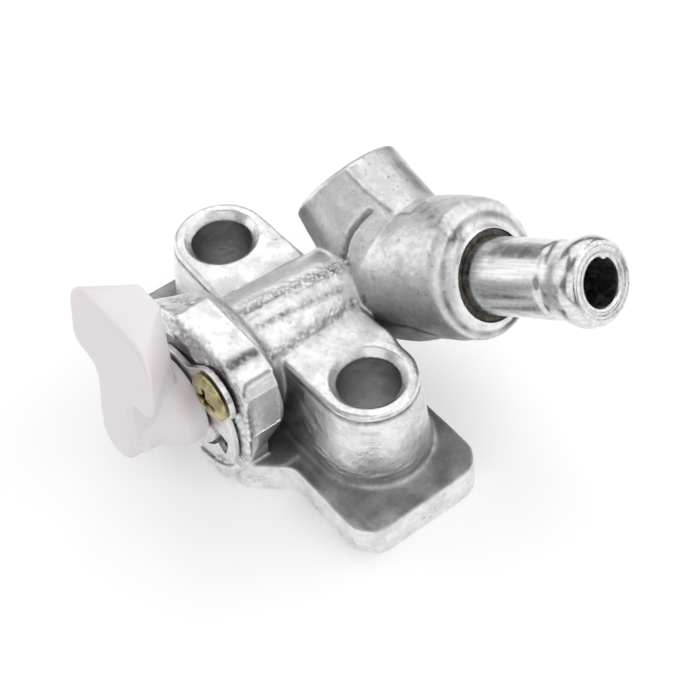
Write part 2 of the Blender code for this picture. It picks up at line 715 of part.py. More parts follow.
def make_lever(pieces, cutters, finish):
    """The lever, its hub, its stop and the rotor disc that covers the ports, moulded in one piece."""
    disc = [
        (0, ROTOR_FRONT),
        (ROTOR_RADIUS - LEVER_EDGE / 2, ROTOR_FRONT),
        (ROTOR_RADIUS, ROTOR_FRONT - LEVER_EDGE / 2),
        (ROTOR_RADIUS, ROTOR_BACK),
        (0, ROTOR_BACK),
    ]
    lever = turned("lever", disc, front_frame(), pieces, finish)
    stem = [
        (0, HUB_FRONT),
        (HUB_RADIUS, HUB_FRONT),
        (HUB_RADIUS, HUB_NECK_PLACE),
        (HUB_FLANGE_RADIUS, HUB_FLANGE_FRONT),
        (HUB_FLANGE_RADIUS, HUB_FLANGE_BACK),
        (HUB_RADIUS, HUB_FLANGE_BACK),
        (HUB_RADIUS, ROTOR_BACK + OVERLAP),
        (0, ROTOR_BACK + OVERLAP),
    ]
    hub = turned("hub", stem, front_frame(), cutters)
    grip = loft("grip", lever_rings(), front_frame(), cutters)
    stop_outline = sector(HUB_RADIUS - OVERLAP, STOP_RADIUS, STOP_FROM, STOP_TO)
    stop = flat_shape("stop", [stop_outline], PLATE_BACK, STOP_FRONT, front_frame(), cutters)
    combine(lever, [hub, grip, stop], "UNION")
    slot_width = ROTOR_SLOT_WIDTH / 2
    reach = PORT_RADIUS + PORT_DIAMETER / 2
    low = (-slot_width, -slot_width, ROTOR_BACK - OVERLAP)
    high = (reach, slot_width, ROTOR_BACK + ROTOR_THICKNESS / 2)
    combine(lever, [box("rotor_slot", low, high, front_frame(), cutters)], "DIFFERENCE")
    return lever


def make_seal(pieces, finish):
    """The rubber port seal: a disc with a key at the top, the outlet hole and the inlet hole."""
    radius = CHAMBER_RADIUS - SEAT_GAP
    half = SEAL_KEY_WIDTH / 2
    side = math.degrees(math.acos(half / radius))
    outline = arc((0, 0), radius, 180 - side, 360 + side, ROUND_STEPS)
    top = CHAMBER_RADIUS + SEAL_KEY_HEIGHT - SEAT_GAP
    outline += [Vector((half, top)), Vector((-half, top))]
    outlet = circle((0, 0), BARREL_BORE / 2)
    inlet = circle((0, -PORT_RADIUS), PORT_DIAMETER / 2)
    return flat_shape("valve_seal", [outline, outlet, inlet], SEAL_BACK, SEAL_FRONT, front_frame(), pieces, finish)


def make_wave_washer(pieces, finish):
    """The spring washer between rotor and plate: a flat ring bent into waves, as a surface with thickness."""
    middle = (ROTOR_FRONT + PLATE_BACK) / 2
    inner = HUB_RADIUS + 2 * RUNNING_GAP
    shape = bmesh.new()
    rows = []
    for i in range(ROUND_STEPS):
        turn = 2 * math.pi * i / ROUND_STEPS
        height = middle + WASHER_WAVE * math.cos(WASHER_WAVES * turn)
        row = []
        for radius in (inner, inner + WASHER_WIDTH):
            row.append(shape.verts.new((radius * math.cos(turn), radius * math.sin(turn), height)))
        rows.append(row)
    for last, row in zip(rows, rows[1:] + rows[:1]):
        shape.faces.new((last[0], last[1], row[1], row[0]))
    mesh = bpy.data.meshes.new("wave_washer")
    shape.to_mesh(mesh)
    shape.free()
    washer = place_object("wave_washer", mesh, front_frame(), pieces, finish)
    wall = washer.modifiers.new("Wall", "SOLIDIFY")
    wall.thickness = WASHER_THICKNESS
    wall.offset = 0
    return washer


def plate_radius(degrees):
    """How far the retaining plate reaches from the barrel's axis at an angle.

    It is the largest of its ring, which is wider beside the stop window, and its two screw ears, each a
    round end on a straight neck.
    """
    turn = (degrees + 180) % 360 - 180
    reach = HUB_HOLE_RADIUS + PLATE_WALL
    if STOP_FROM - LEVER_TRAVEL - 4 * STOP_PLAY <= turn <= STOP_TO + 4 * STOP_PLAY:
        reach = RING_RADIUS
    if PLATE_SHOULDER_FROM <= turn <= SCREW_ANGLE:
        reach = SHOULDER_RADIUS
    for ear in (SCREW_ANGLE, SCREW_ANGLE + 180):
        off = math.radians((degrees - ear + 180) % 360 - 180)
        across = SCREW_CIRCLE_RADIUS * math.sin(off)
        if math.cos(off) <= 0:
            continue
        if abs(across) <= PLATE_EAR_RADIUS:
            past = math.sqrt(PLATE_EAR_RADIUS**2 - across**2)
            reach = max(reach, SCREW_CIRCLE_RADIUS * math.cos(off) + past)
        if abs(math.tan(off)) * SCREW_CIRCLE_RADIUS > PLATE_EAR_RADIUS:
            reach = max(reach, PLATE_EAR_RADIUS / abs(math.sin(off)))
    return reach


def make_plate(pieces, finish):
    """The sheet plate that holds the rotor in: a ring with two screw ears and a window for the lever's stop."""
    outline = [polar(plate_radius(turn), turn) for turn in range(0, FULL_TURN, 3)]
    start = STOP_FROM - LEVER_TRAVEL - STOP_PLAY
    end = STOP_TO + STOP_PLAY
    notch = end - NOTCH_ANGLE
    window = arc((0, 0), WINDOW_RADIUS, start, notch, 20)
    window += arc((0, 0), WINDOW_RADIUS + NOTCH_WIDTH, notch, end, 5)
    window += arc((0, 0), HUB_HOLE_RADIUS, end, start + FULL_TURN, 24)
    holes = []
    for turn in (SCREW_ANGLE, SCREW_ANGLE + 180):
        holes.append(circle(polar(SCREW_CIRCLE_RADIUS, turn), SCREW_HOLE_RADIUS))
    outlines = [outline, window, *holes]
    return flat_shape("retaining_plate", outlines, PLATE_BACK, PLATE_FRONT, front_frame(), pieces, finish)


def make_screw(name, turn, pieces, cutters, finish):
    """A pan-head screw with a cross recess, which holds the retaining plate at an angle round the barrel's axis."""
    place = front_frame(0, turn) @ Matrix.Translation((SCREW_CIRCLE_RADIUS, 0, 0))
    head = SCREW_HEAD_DIAMETER / 2
    shank = SCREW_DIAMETER / 2
    top = HEAD_BACK + SCREW_HEAD_HEIGHT
    end = HEAD_BACK - SCREW_LENGTH
    profile = [(0, top)]
    for step in range(1, 6):
        angle = math.radians(90 - 15 * step)
        profile.append((head * (0.5 + 0.5 * math.cos(angle)), top - SCREW_HEAD_HEIGHT * 0.5 * (1 - math.sin(angle))))
    profile += [(head, HEAD_BACK), (shank, HEAD_BACK), (shank, end + shank / 2), (shank / 2, end), (0, end)]
    screw = turned(name, profile, place, pieces, finish, steps=24)
    half, width = RECESS_LENGTH / 2, RECESS_WIDTH / 2
    slots = []
    for quarter in (0, 90):
        spin = place @ Matrix.Rotation(math.radians(quarter), 4, "Z")
        low, high = (-half, -width, top - RECESS_DEPTH), (half, width, top + OVERLAP)
        slots.append(box(f"{name}_recess_{quarter}", low, high, spin, cutters))
    combine(screw, slots, "DIFFERENCE")
    return screw


def make_base_ring(pieces, finish):
    """The round-section rubber ring in the base face's groove, just clear of the face."""
    height = SEAT_GAP / 2 + RING_SECTION / 2
    section = []
    for step in range(12):
        angle = math.radians(-30 * step)
        reach = RING_CIRCLE + RING_SECTION / 2 * math.cos(angle)
        section.append((reach, height + RING_SECTION / 2 * math.sin(angle)))
    place = Matrix.Translation((0, -INLET_PLACE, 0))
    return turned("base_ring", section, place, pieces, finish, closed=True)


def build():
    clear_scene()
    pieces = new_collection("fuel_tap")
    cutters = new_collection(CUTTERS)
    cast = material("cast_metal", (0.62, 0.63, 0.64), 0.38, 1.0)
    plated = material("plated_tube", (0.66, 0.66, 0.66), 0.25, 1.0)
    nylon = material("white_nylon", (0.87, 0.83, 0.84), 0.45)
    rubber = material("black_rubber", (0.03, 0.03, 0.03), 0.7)
    spring = material("spring_steel", (0.45, 0.45, 0.46), 0.3, 1.0)
    sheet = material("plated_sheet", (0.70, 0.70, 0.68), 0.3, 1.0)
    passivated = material("yellow_zinc", (0.55, 0.45, 0.24), 0.35, 1.0)
    make_body(pieces, cutters, cast)
    make_tube(pieces, plated)
    make_lever(pieces, cutters, nylon)
    make_seal(pieces, rubber)
    make_wave_washer(pieces, spring)
    make_plate(pieces, sheet)
    make_screw("plate_screw_upper", SCREW_ANGLE, pieces, cutters, passivated)
    make_screw("plate_screw_lower", SCREW_ANGLE + 180, pieces, cutters, passivated)
    make_base_ring(pieces, rubber)


build()
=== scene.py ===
"""The looks of the fuel tap: its zinc casting, plated hose tube, nylon lever and yellow-passivated screws.

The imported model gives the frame. Sizes here are in millimetres, and become metres as each mesh is made.
Pieces round the barrel are worked out in barrel coordinates: x to the right, up from the barrel's axis, and
out of the valve housing towards the lever.
"""

import bmesh
import bpy
import numpy as np
from mathutils import Matrix, Vector


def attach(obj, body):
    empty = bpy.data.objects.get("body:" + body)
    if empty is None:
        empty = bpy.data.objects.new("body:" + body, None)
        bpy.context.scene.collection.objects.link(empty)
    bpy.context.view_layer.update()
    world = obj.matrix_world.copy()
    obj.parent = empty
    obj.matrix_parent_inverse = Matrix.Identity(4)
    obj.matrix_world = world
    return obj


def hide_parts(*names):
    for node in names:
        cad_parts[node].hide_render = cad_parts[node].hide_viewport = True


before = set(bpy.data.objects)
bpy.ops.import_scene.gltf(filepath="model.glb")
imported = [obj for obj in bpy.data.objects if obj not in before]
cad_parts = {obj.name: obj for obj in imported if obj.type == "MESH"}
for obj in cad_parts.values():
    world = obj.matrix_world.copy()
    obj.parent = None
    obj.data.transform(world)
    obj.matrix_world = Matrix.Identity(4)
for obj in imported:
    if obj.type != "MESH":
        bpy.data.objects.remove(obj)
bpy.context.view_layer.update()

MM = 0.001
TURN = 2 * np.pi

# A ripple's number of waves, and about the highest sum that they come to
RIPPLE_WAVES = 28
RIPPLE_SUM = 8

# Places that the pieces share with the solids
BARREL_HEIGHT = 11.0
ELBOW = np.array((0.0, 11.9, 11.0))
SPIGOT_AZIMUTH = np.radians(12.2)
SPIGOT_RISE = np.radians(30.1)
SPIGOT_LENGTH = 16.8
INLET_PLACE = 6.7

# Hose tube, as radii and as places along the spigot's axis from the elbow
TUBE_RADIUS = 3.92
TUBE_BORE_RADIUS = 2.42
TUBE_ROOT = 10.0
TUBE_TIP = 31.4
BEAD_RADIUS = 4.44
BEAD_NOSE = 1.5
BEAD_NOSE_ROUND = 0.95
NECK_PLACE = 26.9
NECK_RADIUS = 3.76
NECK_RUN = 0.9
BURR_ANGLE = 0.9
BURR_WIDTH = 0.16
BURR_HEIGHT = 0.32
# A dark brown ring in the socket's gap round the tube's foot: sealing compound, and painted shade of the gap
SEALANT_AND_SHADE_RADIUS = 4.3
SEALANT_AND_SHADE_PLACE = SPIGOT_LENGTH - 0.62

# Lever: its grip, hub, rotor disc and stop
LEVER_FRONT = 22.2
LEVER_BACK = 15.3
LEVER_LEAN = np.tan(np.radians(7.0))
LEVER_TOP = 16.0
STEM_HALF = 3.05
HEAD_HALF = 7.4
SPINE_HALF = 1.8
HEAD_START = 6.9
HEAD_SLOPE = 0.6
GRIP_RIM = 0.8
LEVER_VOXEL = 0.13
LEVER_ROUNDS = 5
HUB_RADIUS = 3.25
HUB_FRONT = 20.6
HUB_FLARE = 18.6
HUB_FLANGE_RADIUS = 4.9
HUB_FLANGE_FRONT = 16.6
HUB_FLANGE_BACK = 14.2
ROTOR_RADIUS = 6.2
ROTOR_FRONT = 12.1
ROTOR_BACK = 10.3
STOP_ANGLES = (-76, -10)
STOP_ROOT = 2.4
STOP_RADIUS = 5.8
STOP_BACK = 13.4
STOP_FRONT = 14.3

# Screws, at an angle round the barrel's axis
SCREW_CIRCLE = 8.4
SCREW_ANGLES = {"plate_screw_upper": 41.0, "plate_screw_lower": 221.0}
SCREW_SEAT = 14.2
SCREW_HEAD_RADIUS = 2.65
SCREW_HEAD_HEIGHT = 0.9
SCREW_SHANK_RADIUS = 1.3
SCREW_END = 10.2
SCREW_GRID = 141
RECESS_REACH = 1.75
RECESS_HALF = 0.36
RECESS_DEPTH = 0.78

# Base ring
RING_RADIUS = 4.85
RING_HALF = 0.75
RING_PLACE = 0.86

# Casting: how finely its skin is laid, how often it is smoothed and how much of it is kept, then the levels
# of its bosses, and how the spigot boss's skin leans and draws in towards its collar
CASTING_VOXEL = 0.17
CASTING_ROUNDS = 3
CASTING_KEPT = 0.36
BOSS_PLACE = 12.7
BOSS_TOP = 14.0
BOSS_LIP = 0.8
FLANGE_TOP = 4.0
BOSS_CHATTER = 1.5
BOSS_FILLET = 0.4
HOUSING_FACE = -13.2
COLLAR_FOOT = 15.95
SHOULDER_WAY = np.array((-0.58, 0.5, 0.64))
SHOULDER_LEAN = 0.6
SHOULDER_DRAW = 0.25
RECESS_DRAW = 0.35
COLLAR_DRAW = 0.6
COLLAR_FALL = 0.55

# Lines on the casting, as points: lines that the die left, and the elbow's crease and the housing's step, neck
# and hollow, along which shade is painted
CREST_FLASH = ((0.05, -5.8, 17.2), (0.2, -2.6, 17.0), (0.5, 1.0, 16.8), (0.95, 4.4, 16.8), (1.2, 6.2, 17.0))
CREST_STREAK = ((2.3, -5.7, 16.7), (2.4, -2.4, 16.5), (2.7, 1.1, 16.1), (2.9, 4.3, 15.8))
SIDE_FLASH = ((4.8, -6.0, 14.8), (4.8, -3.7, 14.7), (4.6, 0.2, 14.6), (4.4, 4.2, 14.5), (5.2, 6.4, 15.2))
ARM_PARTING = (
    (-3.7, 10.6, 23.4),
    (-0.9, 10.9, 22.4),
    (2.0, 11.7, 21.3),
    (3.3, 11.9, 21.3),
    (5.1, 11.8, 22.3),
    (5.0, 13.8, 22.5),
)
ELBOW_CREASE = ((0.9, 6.3, 17.3), (0.6, 6.9, 18.5), (0.45, 7.75, 19.75), (0.6, 8.9, 20.7), (0.7, 10.1, 21.4))
HOUSING_STEP = ((7.3, -13.1, 20.1), (7.8, -12.2, 20.9), (7.7, -10.8, 20.9), (7.8, -9.5, 20.85))
HOUSING_NECK = (
    (-1.5, -7.3, 19.0),
    (1.6, -7.5, 18.9),
    (3.3, -7.0, 17.8),
    (3.9, -6.4, 15.9),
    (4.9, -6.3, 14.8),
)
HOUSING_HOLLOW = ((-4.5, -10.6, 18.9), (-2.5, -10.0, 19.6))
LUG_EDGE = (
    (9.8, -9.5, 19.75),
    (9.8, -12.1, 19.8),
    (10.25, -12.7, 19.2),
    (10.7, -12.8, 16.8),
    (10.4, -12.7, 12.3),
)
SPIGOT_STAIN = ((6.1, 13.0, 23.1), (8.9, 12.2, 24.4), (10.8, 12.3, 24.4))

# Each line's mark: the skin's (width, height, swing of the height), then the darkening's (width, strength,
# swing), which is painted shade along the crease, step, neck and hollow and darker marks along the other lines
LINE_MARKS = (
    (CREST_FLASH, (0.75, 0.05, 0.27), (0.7, 0.3, -0.65)),
    (CREST_STREAK, (0.6, 0.0, 0.09), (0.45, 0.45, 0.4)),
    (SIDE_FLASH, (0.6, 0.0, 0.1), (0.5, 0.2, 0.4)),
    (ARM_PARTING, (0.22, 0.1, 0.07), (0.22, 0.6, 0.0)),
    (ELBOW_CREASE, (0.3, -0.34, -0.05), (0.33, 1.0, 0.0)),
    (HOUSING_STEP, (0.35, -0.15, -0.12), (0.6, 1.1, 0.4)),
    (HOUSING_NECK, (0.8, 0.0, 0.05), (0.75, 0.5, 0.25)),
    (HOUSING_HOLLOW, (1.5, -0.25, -0.08), (1.1, 0.35, 0.3)),
    (LUG_EDGE, (0.22, -0.12, 0.0), (0.22, 0.8, 0.0)),
)

# Stage. The floor glows in reflections, and to the camera near the tap and far from it, with a fade between
# two distances in metres. The world has a strength for the object and one for the camera. Each lamp has a name,
# a place, a size and a power.
FLOOR_HALF = 2.0
FLOOR_LEVEL = -0.05
FLOOR_REFLECTED = 0.28
FLOOR_SEEN = (0.21, 0.95)
FLOOR_FADE = (0.25, 0.9)
WORLD_STRENGTH = 0.22
WORLD_SEEN = 1.0
LAMPS = (
    ("key", (-0.40, 0.30, 0.62), 0.8, 2.3),
    ("top", (0.22, 0.22, 0.62), 0.5, 0.75),
    ("front", (0.35, -0.45, 0.45), 0.8, 1.75),
    ("left", (-0.46, -0.32, 0.22), 0.55, 1.0),
    ("right", (0.50, 0.25, 0.36), 0.5, 0.8),
    ("back", (0.15, 0.55, 0.25), 0.5, 0.8),
)
LAMP_TARGET = (0, 0, 0.01)

# Camera, fitted to the photograph
CAMERA_PLACE = (0.103158, -0.062291, 0.148324)
CAMERA_FORWARD = Vector((-0.53686, 0.35856, -0.76368)).normalized()
CAMERA_RIGHT = Vector((0.61135, 0.78914, -0.05926))
CAMERA_LENS = 90.31


def unit(azimuth, rise):
    """The direction at an azimuth from x and a rise above the horizontal."""
    return np.array((np.cos(rise) * np.cos(azimuth), np.cos(rise) * np.sin(azimuth), np.sin(rise)))


def from_barrel(points):
    """Barrel coordinates (x, up, out) to part coordinates: out is minus Y, and up starts at the axis."""
    x, up, out = np.moveaxis(np.asarray(points, float), -1, 0)
    return np.stack((x, -out, BARREL_HEIGHT + up), -1)


def from_axis(points, origin, direction):
    """Points given across and along a direction, carried to an origin: two cross axes complete the frame."""
    along = np.asarray(direction, float)
    side = np.cross((0.0, 0.0, 1.0), along)
    side /= np.linalg.norm(side)
    over = np.cross(along, side)
    return origin + points @ np.stack((side, over, along))


def smooth_step(low, high, value):
    """0 below low, 1 above high, and 3t^2 - 2t^3 between."""
    share = np.clip((value - low) / (high - low), 0, 1)
    return share * share * (3 - 2 * share)


def window(value, start, full, fade, end):
    """0 before start, 1 from full to fade and 0 past end, with smooth steps between."""
    return smooth_step(start, full, value) * smooth_step(end, fade, value)


def ripple(points, scale, seed):
    """Smooth noise near -1 to 1: a sum of sines along fixed random directions."""
    rng = np.random.default_rng(seed)
    ways = rng.normal(size=(RIPPLE_WAVES, 3)) / scale
    starts = rng.uniform(0, TURN, RIPPLE_WAVES)
    return np.sin(points @ ways.T + starts).sum(-1) / RIPPLE_SUM


def fillet(corners, steps=8):
    """A polyline with its corners rounded: corners holds (x, y, radius), the arcs being quadratic curves."""
    corners = np.asarray(corners, float)
    here = corners[:, :2]
    to_last = np.roll(here, 1, 0) - here
    to_next = np.roll(here, -1, 0) - here
    reach = corners[:, 2:]
    first = here + to_last / np.linalg.norm(to_last, axis=1, keepdims=True) * reach
    last = here + to_next / np.linalg.norm(to_next, axis=1, keepdims=True) * reach
    t = np.linspace(0, 1, steps)[None, :, None]
    curve = (1 - t) ** 2 * first[:, None] + 2 * t * (1 - t) * here[:, None] + t**2 * last[:, None]
    return curve.reshape(-1, 2)


def resample(outline, count):
    """A closed outline with count points at equal steps along it."""
    loop = np.vstack((outline, outline[:1]))
    run = np.concatenate(([0], np.cumsum(np.linalg.norm(np.diff(loop, axis=0), axis=1))))
    at = np.linspace(0, run[-1], count, endpoint=False)
    return np.stack([np.interp(at, run, loop[:, i]) for i in range(2)], -1)


def shrink(outline, depth):
    """An anticlockwise outline moved inwards by depth along its own normals."""
    ahead = np.roll(outline, -1, 0) - np.roll(outline, 1, 0)
    normal = np.stack((-ahead[:, 1], ahead[:, 0]), -1)
    return outline + normal / np.linalg.norm(normal, axis=1, keepdims=True) * depth


def revolve(profile, columns=128):
    """A profile of (radius, height) turned about its axis: rows follow the profile, columns the turn."""
    profile = np.asarray(profile, float)
    turn = np.linspace(0, TURN, columns, endpoint=False)
    radius = profile[:, :1]
    height = np.broadcast_to(profile[:, 1:], (len(profile), columns))
    return np.stack((radius * np.cos(turn), radius * np.sin(turn), height), -1)


def surface(name, grid, closed_rows=False, caps=False):
    """A mesh of quads on a grid of points in millimetres, whose columns run round and join up."""
    rows, columns, _ = grid.shape
    index = np.arange(rows * columns).reshape(rows, columns)
    below = index if closed_rows else index[:-1]
    above = np.roll(index, -1, 0) if closed_rows else index[1:]
    quads = np.stack((below, np.roll(below, -1, 1), np.roll(above, -1, 1), above), -1).reshape(-1, 4)
    points = grid.reshape(-1, 3)
    faces = quads.tolist()
    if caps:
        centres = np.stack((grid[0].mean(0), grid[-1].mean(0)))
        start = len(points)
        points = np.vstack((points, centres))
        low = np.stack((np.full(columns, start), np.roll(index[0], -1), index[0]), -1)
        high = np.stack((np.full(columns, start + 1), index[-1], np.roll(index[-1], -1)), -1)
        faces += low.tolist() + high.tolist()
    mesh = bpy.data.meshes.new(name)
    mesh.from_pydata(points * MM, [], faces)
    return mesh


def write_shape(shape, name):
    """An edited shape as a new mesh. The shape is freed."""
    mesh = bpy.data.meshes.new(name)
    shape.to_mesh(mesh)
    shape.free()
    return mesh


def join(name, meshes, fill=False):
    """Several meshes as one: close points merged, holes filled if asked, and every face turned outwards."""
    shape = bmesh.new()
    for mesh in meshes:
        shape.from_mesh(mesh)
    bmesh.ops.remove_doubles(shape, verts=shape.verts, dist=0.002 * MM)
    if fill:
        bmesh.ops.holes_fill(shape, edges=[one for one in shape.edges if one.is_boundary], sides=0)
    bmesh.ops.recalc_face_normals(shape, faces=shape.faces)
    return write_shape(shape, name)


def merged_copy(node, name, flatten=False):
    """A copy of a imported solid's mesh with its loose triangles merged, and flat faces made whole if asked."""
    shape = bmesh.new()
    shape.from_mesh(bpy.data.objects[node].data)
    bmesh.ops.remove_doubles(shape, verts=shape.verts, dist=0.001 * MM)
    if flatten:
        bmesh.ops.dissolve_limit(shape, angle_limit=0.02, verts=shape.verts, edges=shape.edges)
    return write_shape(shape, name)


def piece(name, mesh, body, finish, node=None):
    """A finished object on a body, with smooth faces, which may stand for a CAD node."""
    item = bpy.data.objects.new(name, mesh)
    bpy.context.scene.collection.objects.link(item)
    mesh.materials.clear()
    mesh.materials.append(finish)
    mesh.polygons.foreach_set("use_smooth", np.ones(len(mesh.polygons), bool))
    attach(item, body)
    if node:
        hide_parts(node)
    return item


def near_line(points, line):
    """The distance from each point to a line through several corners, in millimetres."""
    line = np.asarray(line, float)
    nearest = np.full(len(points), np.inf)
    for start, end in zip(line[:-1], line[1:]):
        way = end - start
        share = np.clip((points - start) @ way / (way @ way), 0, 1)
        nearest = np.minimum(nearest, np.linalg.norm(points - start - share[:, None] * way, axis=1))
    return nearest


def bell(distance, width):
    """1 on a line, falling to nothing over a few widths."""
    return np.exp(-((distance / width) ** 2))


def settle(item):
    """Carries out an item's modifiers, and gives its points and normals as arrays in millimetres."""
    graph = bpy.context.evaluated_depsgraph_get()
    mesh = bpy.data.meshes.new_from_object(item.evaluated_get(graph))
    item.modifiers.clear()
    item.data = mesh
    points = np.empty(len(mesh.vertices) * 3)
    normals = np.empty(len(mesh.vertices) * 3)
    mesh.vertices.foreach_get("co", points)
    mesh.vertex_normals.foreach_get("vector", normals)
    return mesh, points.reshape(-1, 3) / MM, normals.reshape(-1, 3)


def soften(item, voxel, rounds):
    """Rounds edges and fills creases as casting and moulding do: an even skin of voxels, then smoothed."""
    skin = item.modifiers.new("skin", "REMESH")
    skin.mode = "VOXEL"
    skin.voxel_size = voxel * MM
    skin.use_smooth_shade = True
    ease = item.modifiers.new("ease", "SMOOTH")
    ease.factor = 0.5
    ease.iterations = rounds


# Materials


def new_group(name, inputs, outputs):
    """An empty node group with named number inputs (name, default) and outputs (name, socket type)."""
    tree = bpy.data.node_groups.new(name, "ShaderNodeTree")
    for label, value in inputs:
        tree.interface.new_socket(label, in_out="INPUT", socket_type="NodeSocketFloat").default_value = value
    for label, kind in outputs:
        tree.interface.new_socket(label, in_out="OUTPUT", socket_type=kind)
    return tree, tree.nodes.new("NodeGroupInput"), tree.nodes.new("NodeGroupOutput")


def math_node(tree, operation, first, second=None, clamp=False):
    """A Math node, whose inputs are numbers or sockets."""
    node = tree.nodes.new("ShaderNodeMath")
    node.operation = operation
    node.use_clamp = clamp
    for socket, value in zip(node.inputs, (first, second)):
        if isinstance(value, bpy.types.NodeSocket):
            tree.links.new(value, socket)
        elif value is not None:
            socket.default_value = value
    return node.outputs[0]


def product(tree, first, second):
    """Two numbers or sockets multiplied."""
    return math_node(tree, "MULTIPLY", first, second)


def total(tree, first, second, clamp=False):
    """Two numbers or sockets added."""
    return math_node(tree, "ADD", first, second, clamp)


def stirred(tree, value, pattern, amount):
    """A value plus a pattern's swing about one half, times an amount."""
    return total(tree, value, product(tree, math_node(tree, "SUBTRACT", pattern, 0.5), amount))


def spread(tree, value, low, high, to_low=0.0, to_high=1.0):
    """A value mapped smoothly from one range to another."""
    node = tree.nodes.new("ShaderNodeMapRange")
    node.interpolation_type = "SMOOTHSTEP"
    tree.links.new(value, node.inputs["Value"])
    for label, number in (("From Min", low), ("From Max", high), ("To Min", to_low), ("To Max", to_high)):
        node.inputs[label].default_value = number
    return node.outputs["Result"]


def object_place(tree):
    """The place on the object, on which every pattern is laid."""
    return tree.nodes.new("ShaderNodeTexCoord").outputs["Object"]


def noise(tree, vector, scale, detail=4.0, rough=0.55):
    """Fractal noise, whose scale is in repeats a metre or a socket."""
    node = tree.nodes.new("ShaderNodeTexNoise")
    tree.links.new(vector, node.inputs["Vector"])
    if isinstance(scale, bpy.types.NodeSocket):
        tree.links.new(scale, node.inputs["Scale"])
    else:
        node.inputs["Scale"].default_value = scale
    node.inputs["Detail"].default_value = detail
    node.inputs["Roughness"].default_value = rough
    return node.outputs["Fac"]


def blend_colour(tree, share, first, second):
    """A colour between two, which are colours or sockets."""
    node = tree.nodes.new("ShaderNodeMix")
    node.data_type = "RGBA"
    tree.links.new(share, node.inputs["Factor"])
    for label, value in (("A", first), ("B", second)):
        socket = [one for one in node.inputs if one.name == label and one.type == "RGBA"][0]
        if isinstance(value, bpy.types.NodeSocket):
            tree.links.new(value, socket)
        else:
            socket.default_value = (*value, 1.0)
    return [one for one in node.outputs if one.type == "RGBA"][0]


def make_cast_grain():
    """Cast metal's skin: a fine grain for height, slow mottling for tone, and small dark flecks.

    Sand is how sandy the die was there, from 0 to 1.
    """
    tree, given, out = new_group(
        "cast_grain",
        [("Grain Scale", 1500.0), ("Mottle Scale", 330.0), ("Sand", 0.4)],
        [("Height", "NodeSocketFloat"), ("Mottle", "NodeSocketFloat"), ("Flecks", "NodeSocketFloat")],
    )
    place = object_place(tree)
    fine = noise(tree, place, given.outputs["Grain Scale"], 5.0, 0.6)
    slow = noise(tree, place, given.outputs["Mottle Scale"], 6.0, 0.62)
    sandy = product(tree, noise(tree, place, 4200.0, 3.0, 0.6), given.outputs["Sand"])
    skin = total(tree, product(tree, fine, 0.6), product(tree, slow, 0.8))
    tree.links.new(total(tree, skin, product(tree, sandy, 0.45)), out.inputs["Height"])
    tree.links.new(spread(tree, stirred(tree, slow, fine, 0.5), 0.3, 0.68), out.inputs["Mottle"])
    pits = noise(tree, place, 1900.0, 4.0, 0.65)
    flecks = product(tree, spread(tree, pits, 0.6, 0.7), spread(tree, slow, 0.62, 0.4, 0.25, 1.0))
    tree.links.new(flecks, out.inputs["Flecks"])
    return tree


def make_edge_wear():
    """Worn edges: how far a rounded normal turns from the surface's own, broken up by noise."""
    tree, given, out = new_group(
        "edge_wear",
        [("Width", 0.0005), ("Break Scale", 900.0)],
        [("Edge", "NodeSocketFloat")],
    )
    bevel = tree.nodes.new("ShaderNodeBevel")
    bevel.samples = 6
    tree.links.new(given.outputs["Width"], bevel.inputs["Radius"])
    facing = tree.nodes.new("ShaderNodeVectorMath")
    facing.operation = "DOT_PRODUCT"
    tree.links.new(bevel.outputs["Normal"], facing.inputs[0])
    tree.links.new(tree.nodes.new("ShaderNodeNewGeometry").outputs["Normal"], facing.inputs[1])
    place = object_place(tree)
    broken = noise(tree, place, given.outputs["Break Scale"], 3.0, 0.6)
    turned = math_node(tree, "SUBTRACT", 1.0, facing.outputs["Value"])
    tree.links.new(spread(tree, stirred(tree, turned, broken, 0.06), 0.012, 0.07), out.inputs["Edge"])
    return tree


def make_recess_shade():
    """Painted shade in corners: darker where the surface sees little of the open air, broken up by noise.

    Corner Shade is that painted shade in tight corners, and Soft Shade is the same shading left soft, greying
    the metal round them.
    """
    tree, given, out = new_group(
        "recess_shade",
        [("Reach", 0.0025), ("Break Scale", 700.0)],
        [("Corner Shade", "NodeSocketFloat"), ("Soft Shade", "NodeSocketFloat")],
    )
    air = tree.nodes.new("ShaderNodeAmbientOcclusion")
    air.samples = 8
    air.only_local = True
    tree.links.new(given.outputs["Reach"], air.inputs["Distance"])
    place = object_place(tree)
    broken = noise(tree, place, given.outputs["Break Scale"], 4.0, 0.6)
    shade = stirred(tree, air.outputs["AO"], broken, 0.5)
    tree.links.new(spread(tree, shade, 0.75, 0.25), out.inputs["Corner Shade"])
    tree.links.new(spread(tree, shade, 0.95, 0.3), out.inputs["Soft Shade"])
    return tree


def use_group(tree, group, **values):
    """A group placed in a material, with its own values."""
    node = tree.nodes.new("ShaderNodeGroup")
    node.node_tree = group
    for label, value in values.items():
        node.inputs[label.replace("_", " ").title()].default_value = value
    return node.outputs


def new_finish(name, **constants):
    """A material with a Principled shader, whose constant values sit on its own sockets."""
    finish = bpy.data.materials.new(name)
    finish.use_nodes = True
    shader = finish.node_tree.nodes["Principled BSDF"]
    for label, value in constants.items():
        shader.inputs[label.replace("_", " ").title().replace("Ior", "IOR")].default_value = value
    return finish, finish.node_tree, shader


def bump(tree, shader, height, strength, distance):
    """A Bump node that feeds the shader's normal. distance is in millimetres."""
    node = tree.nodes.new("ShaderNodeBump")
    node.inputs["Strength"].default_value = strength
    node.inputs["Distance"].default_value = distance * MM
    tree.links.new(height, node.inputs["Height"])
    tree.links.new(node.outputs["Normal"], shader.inputs["Normal"])


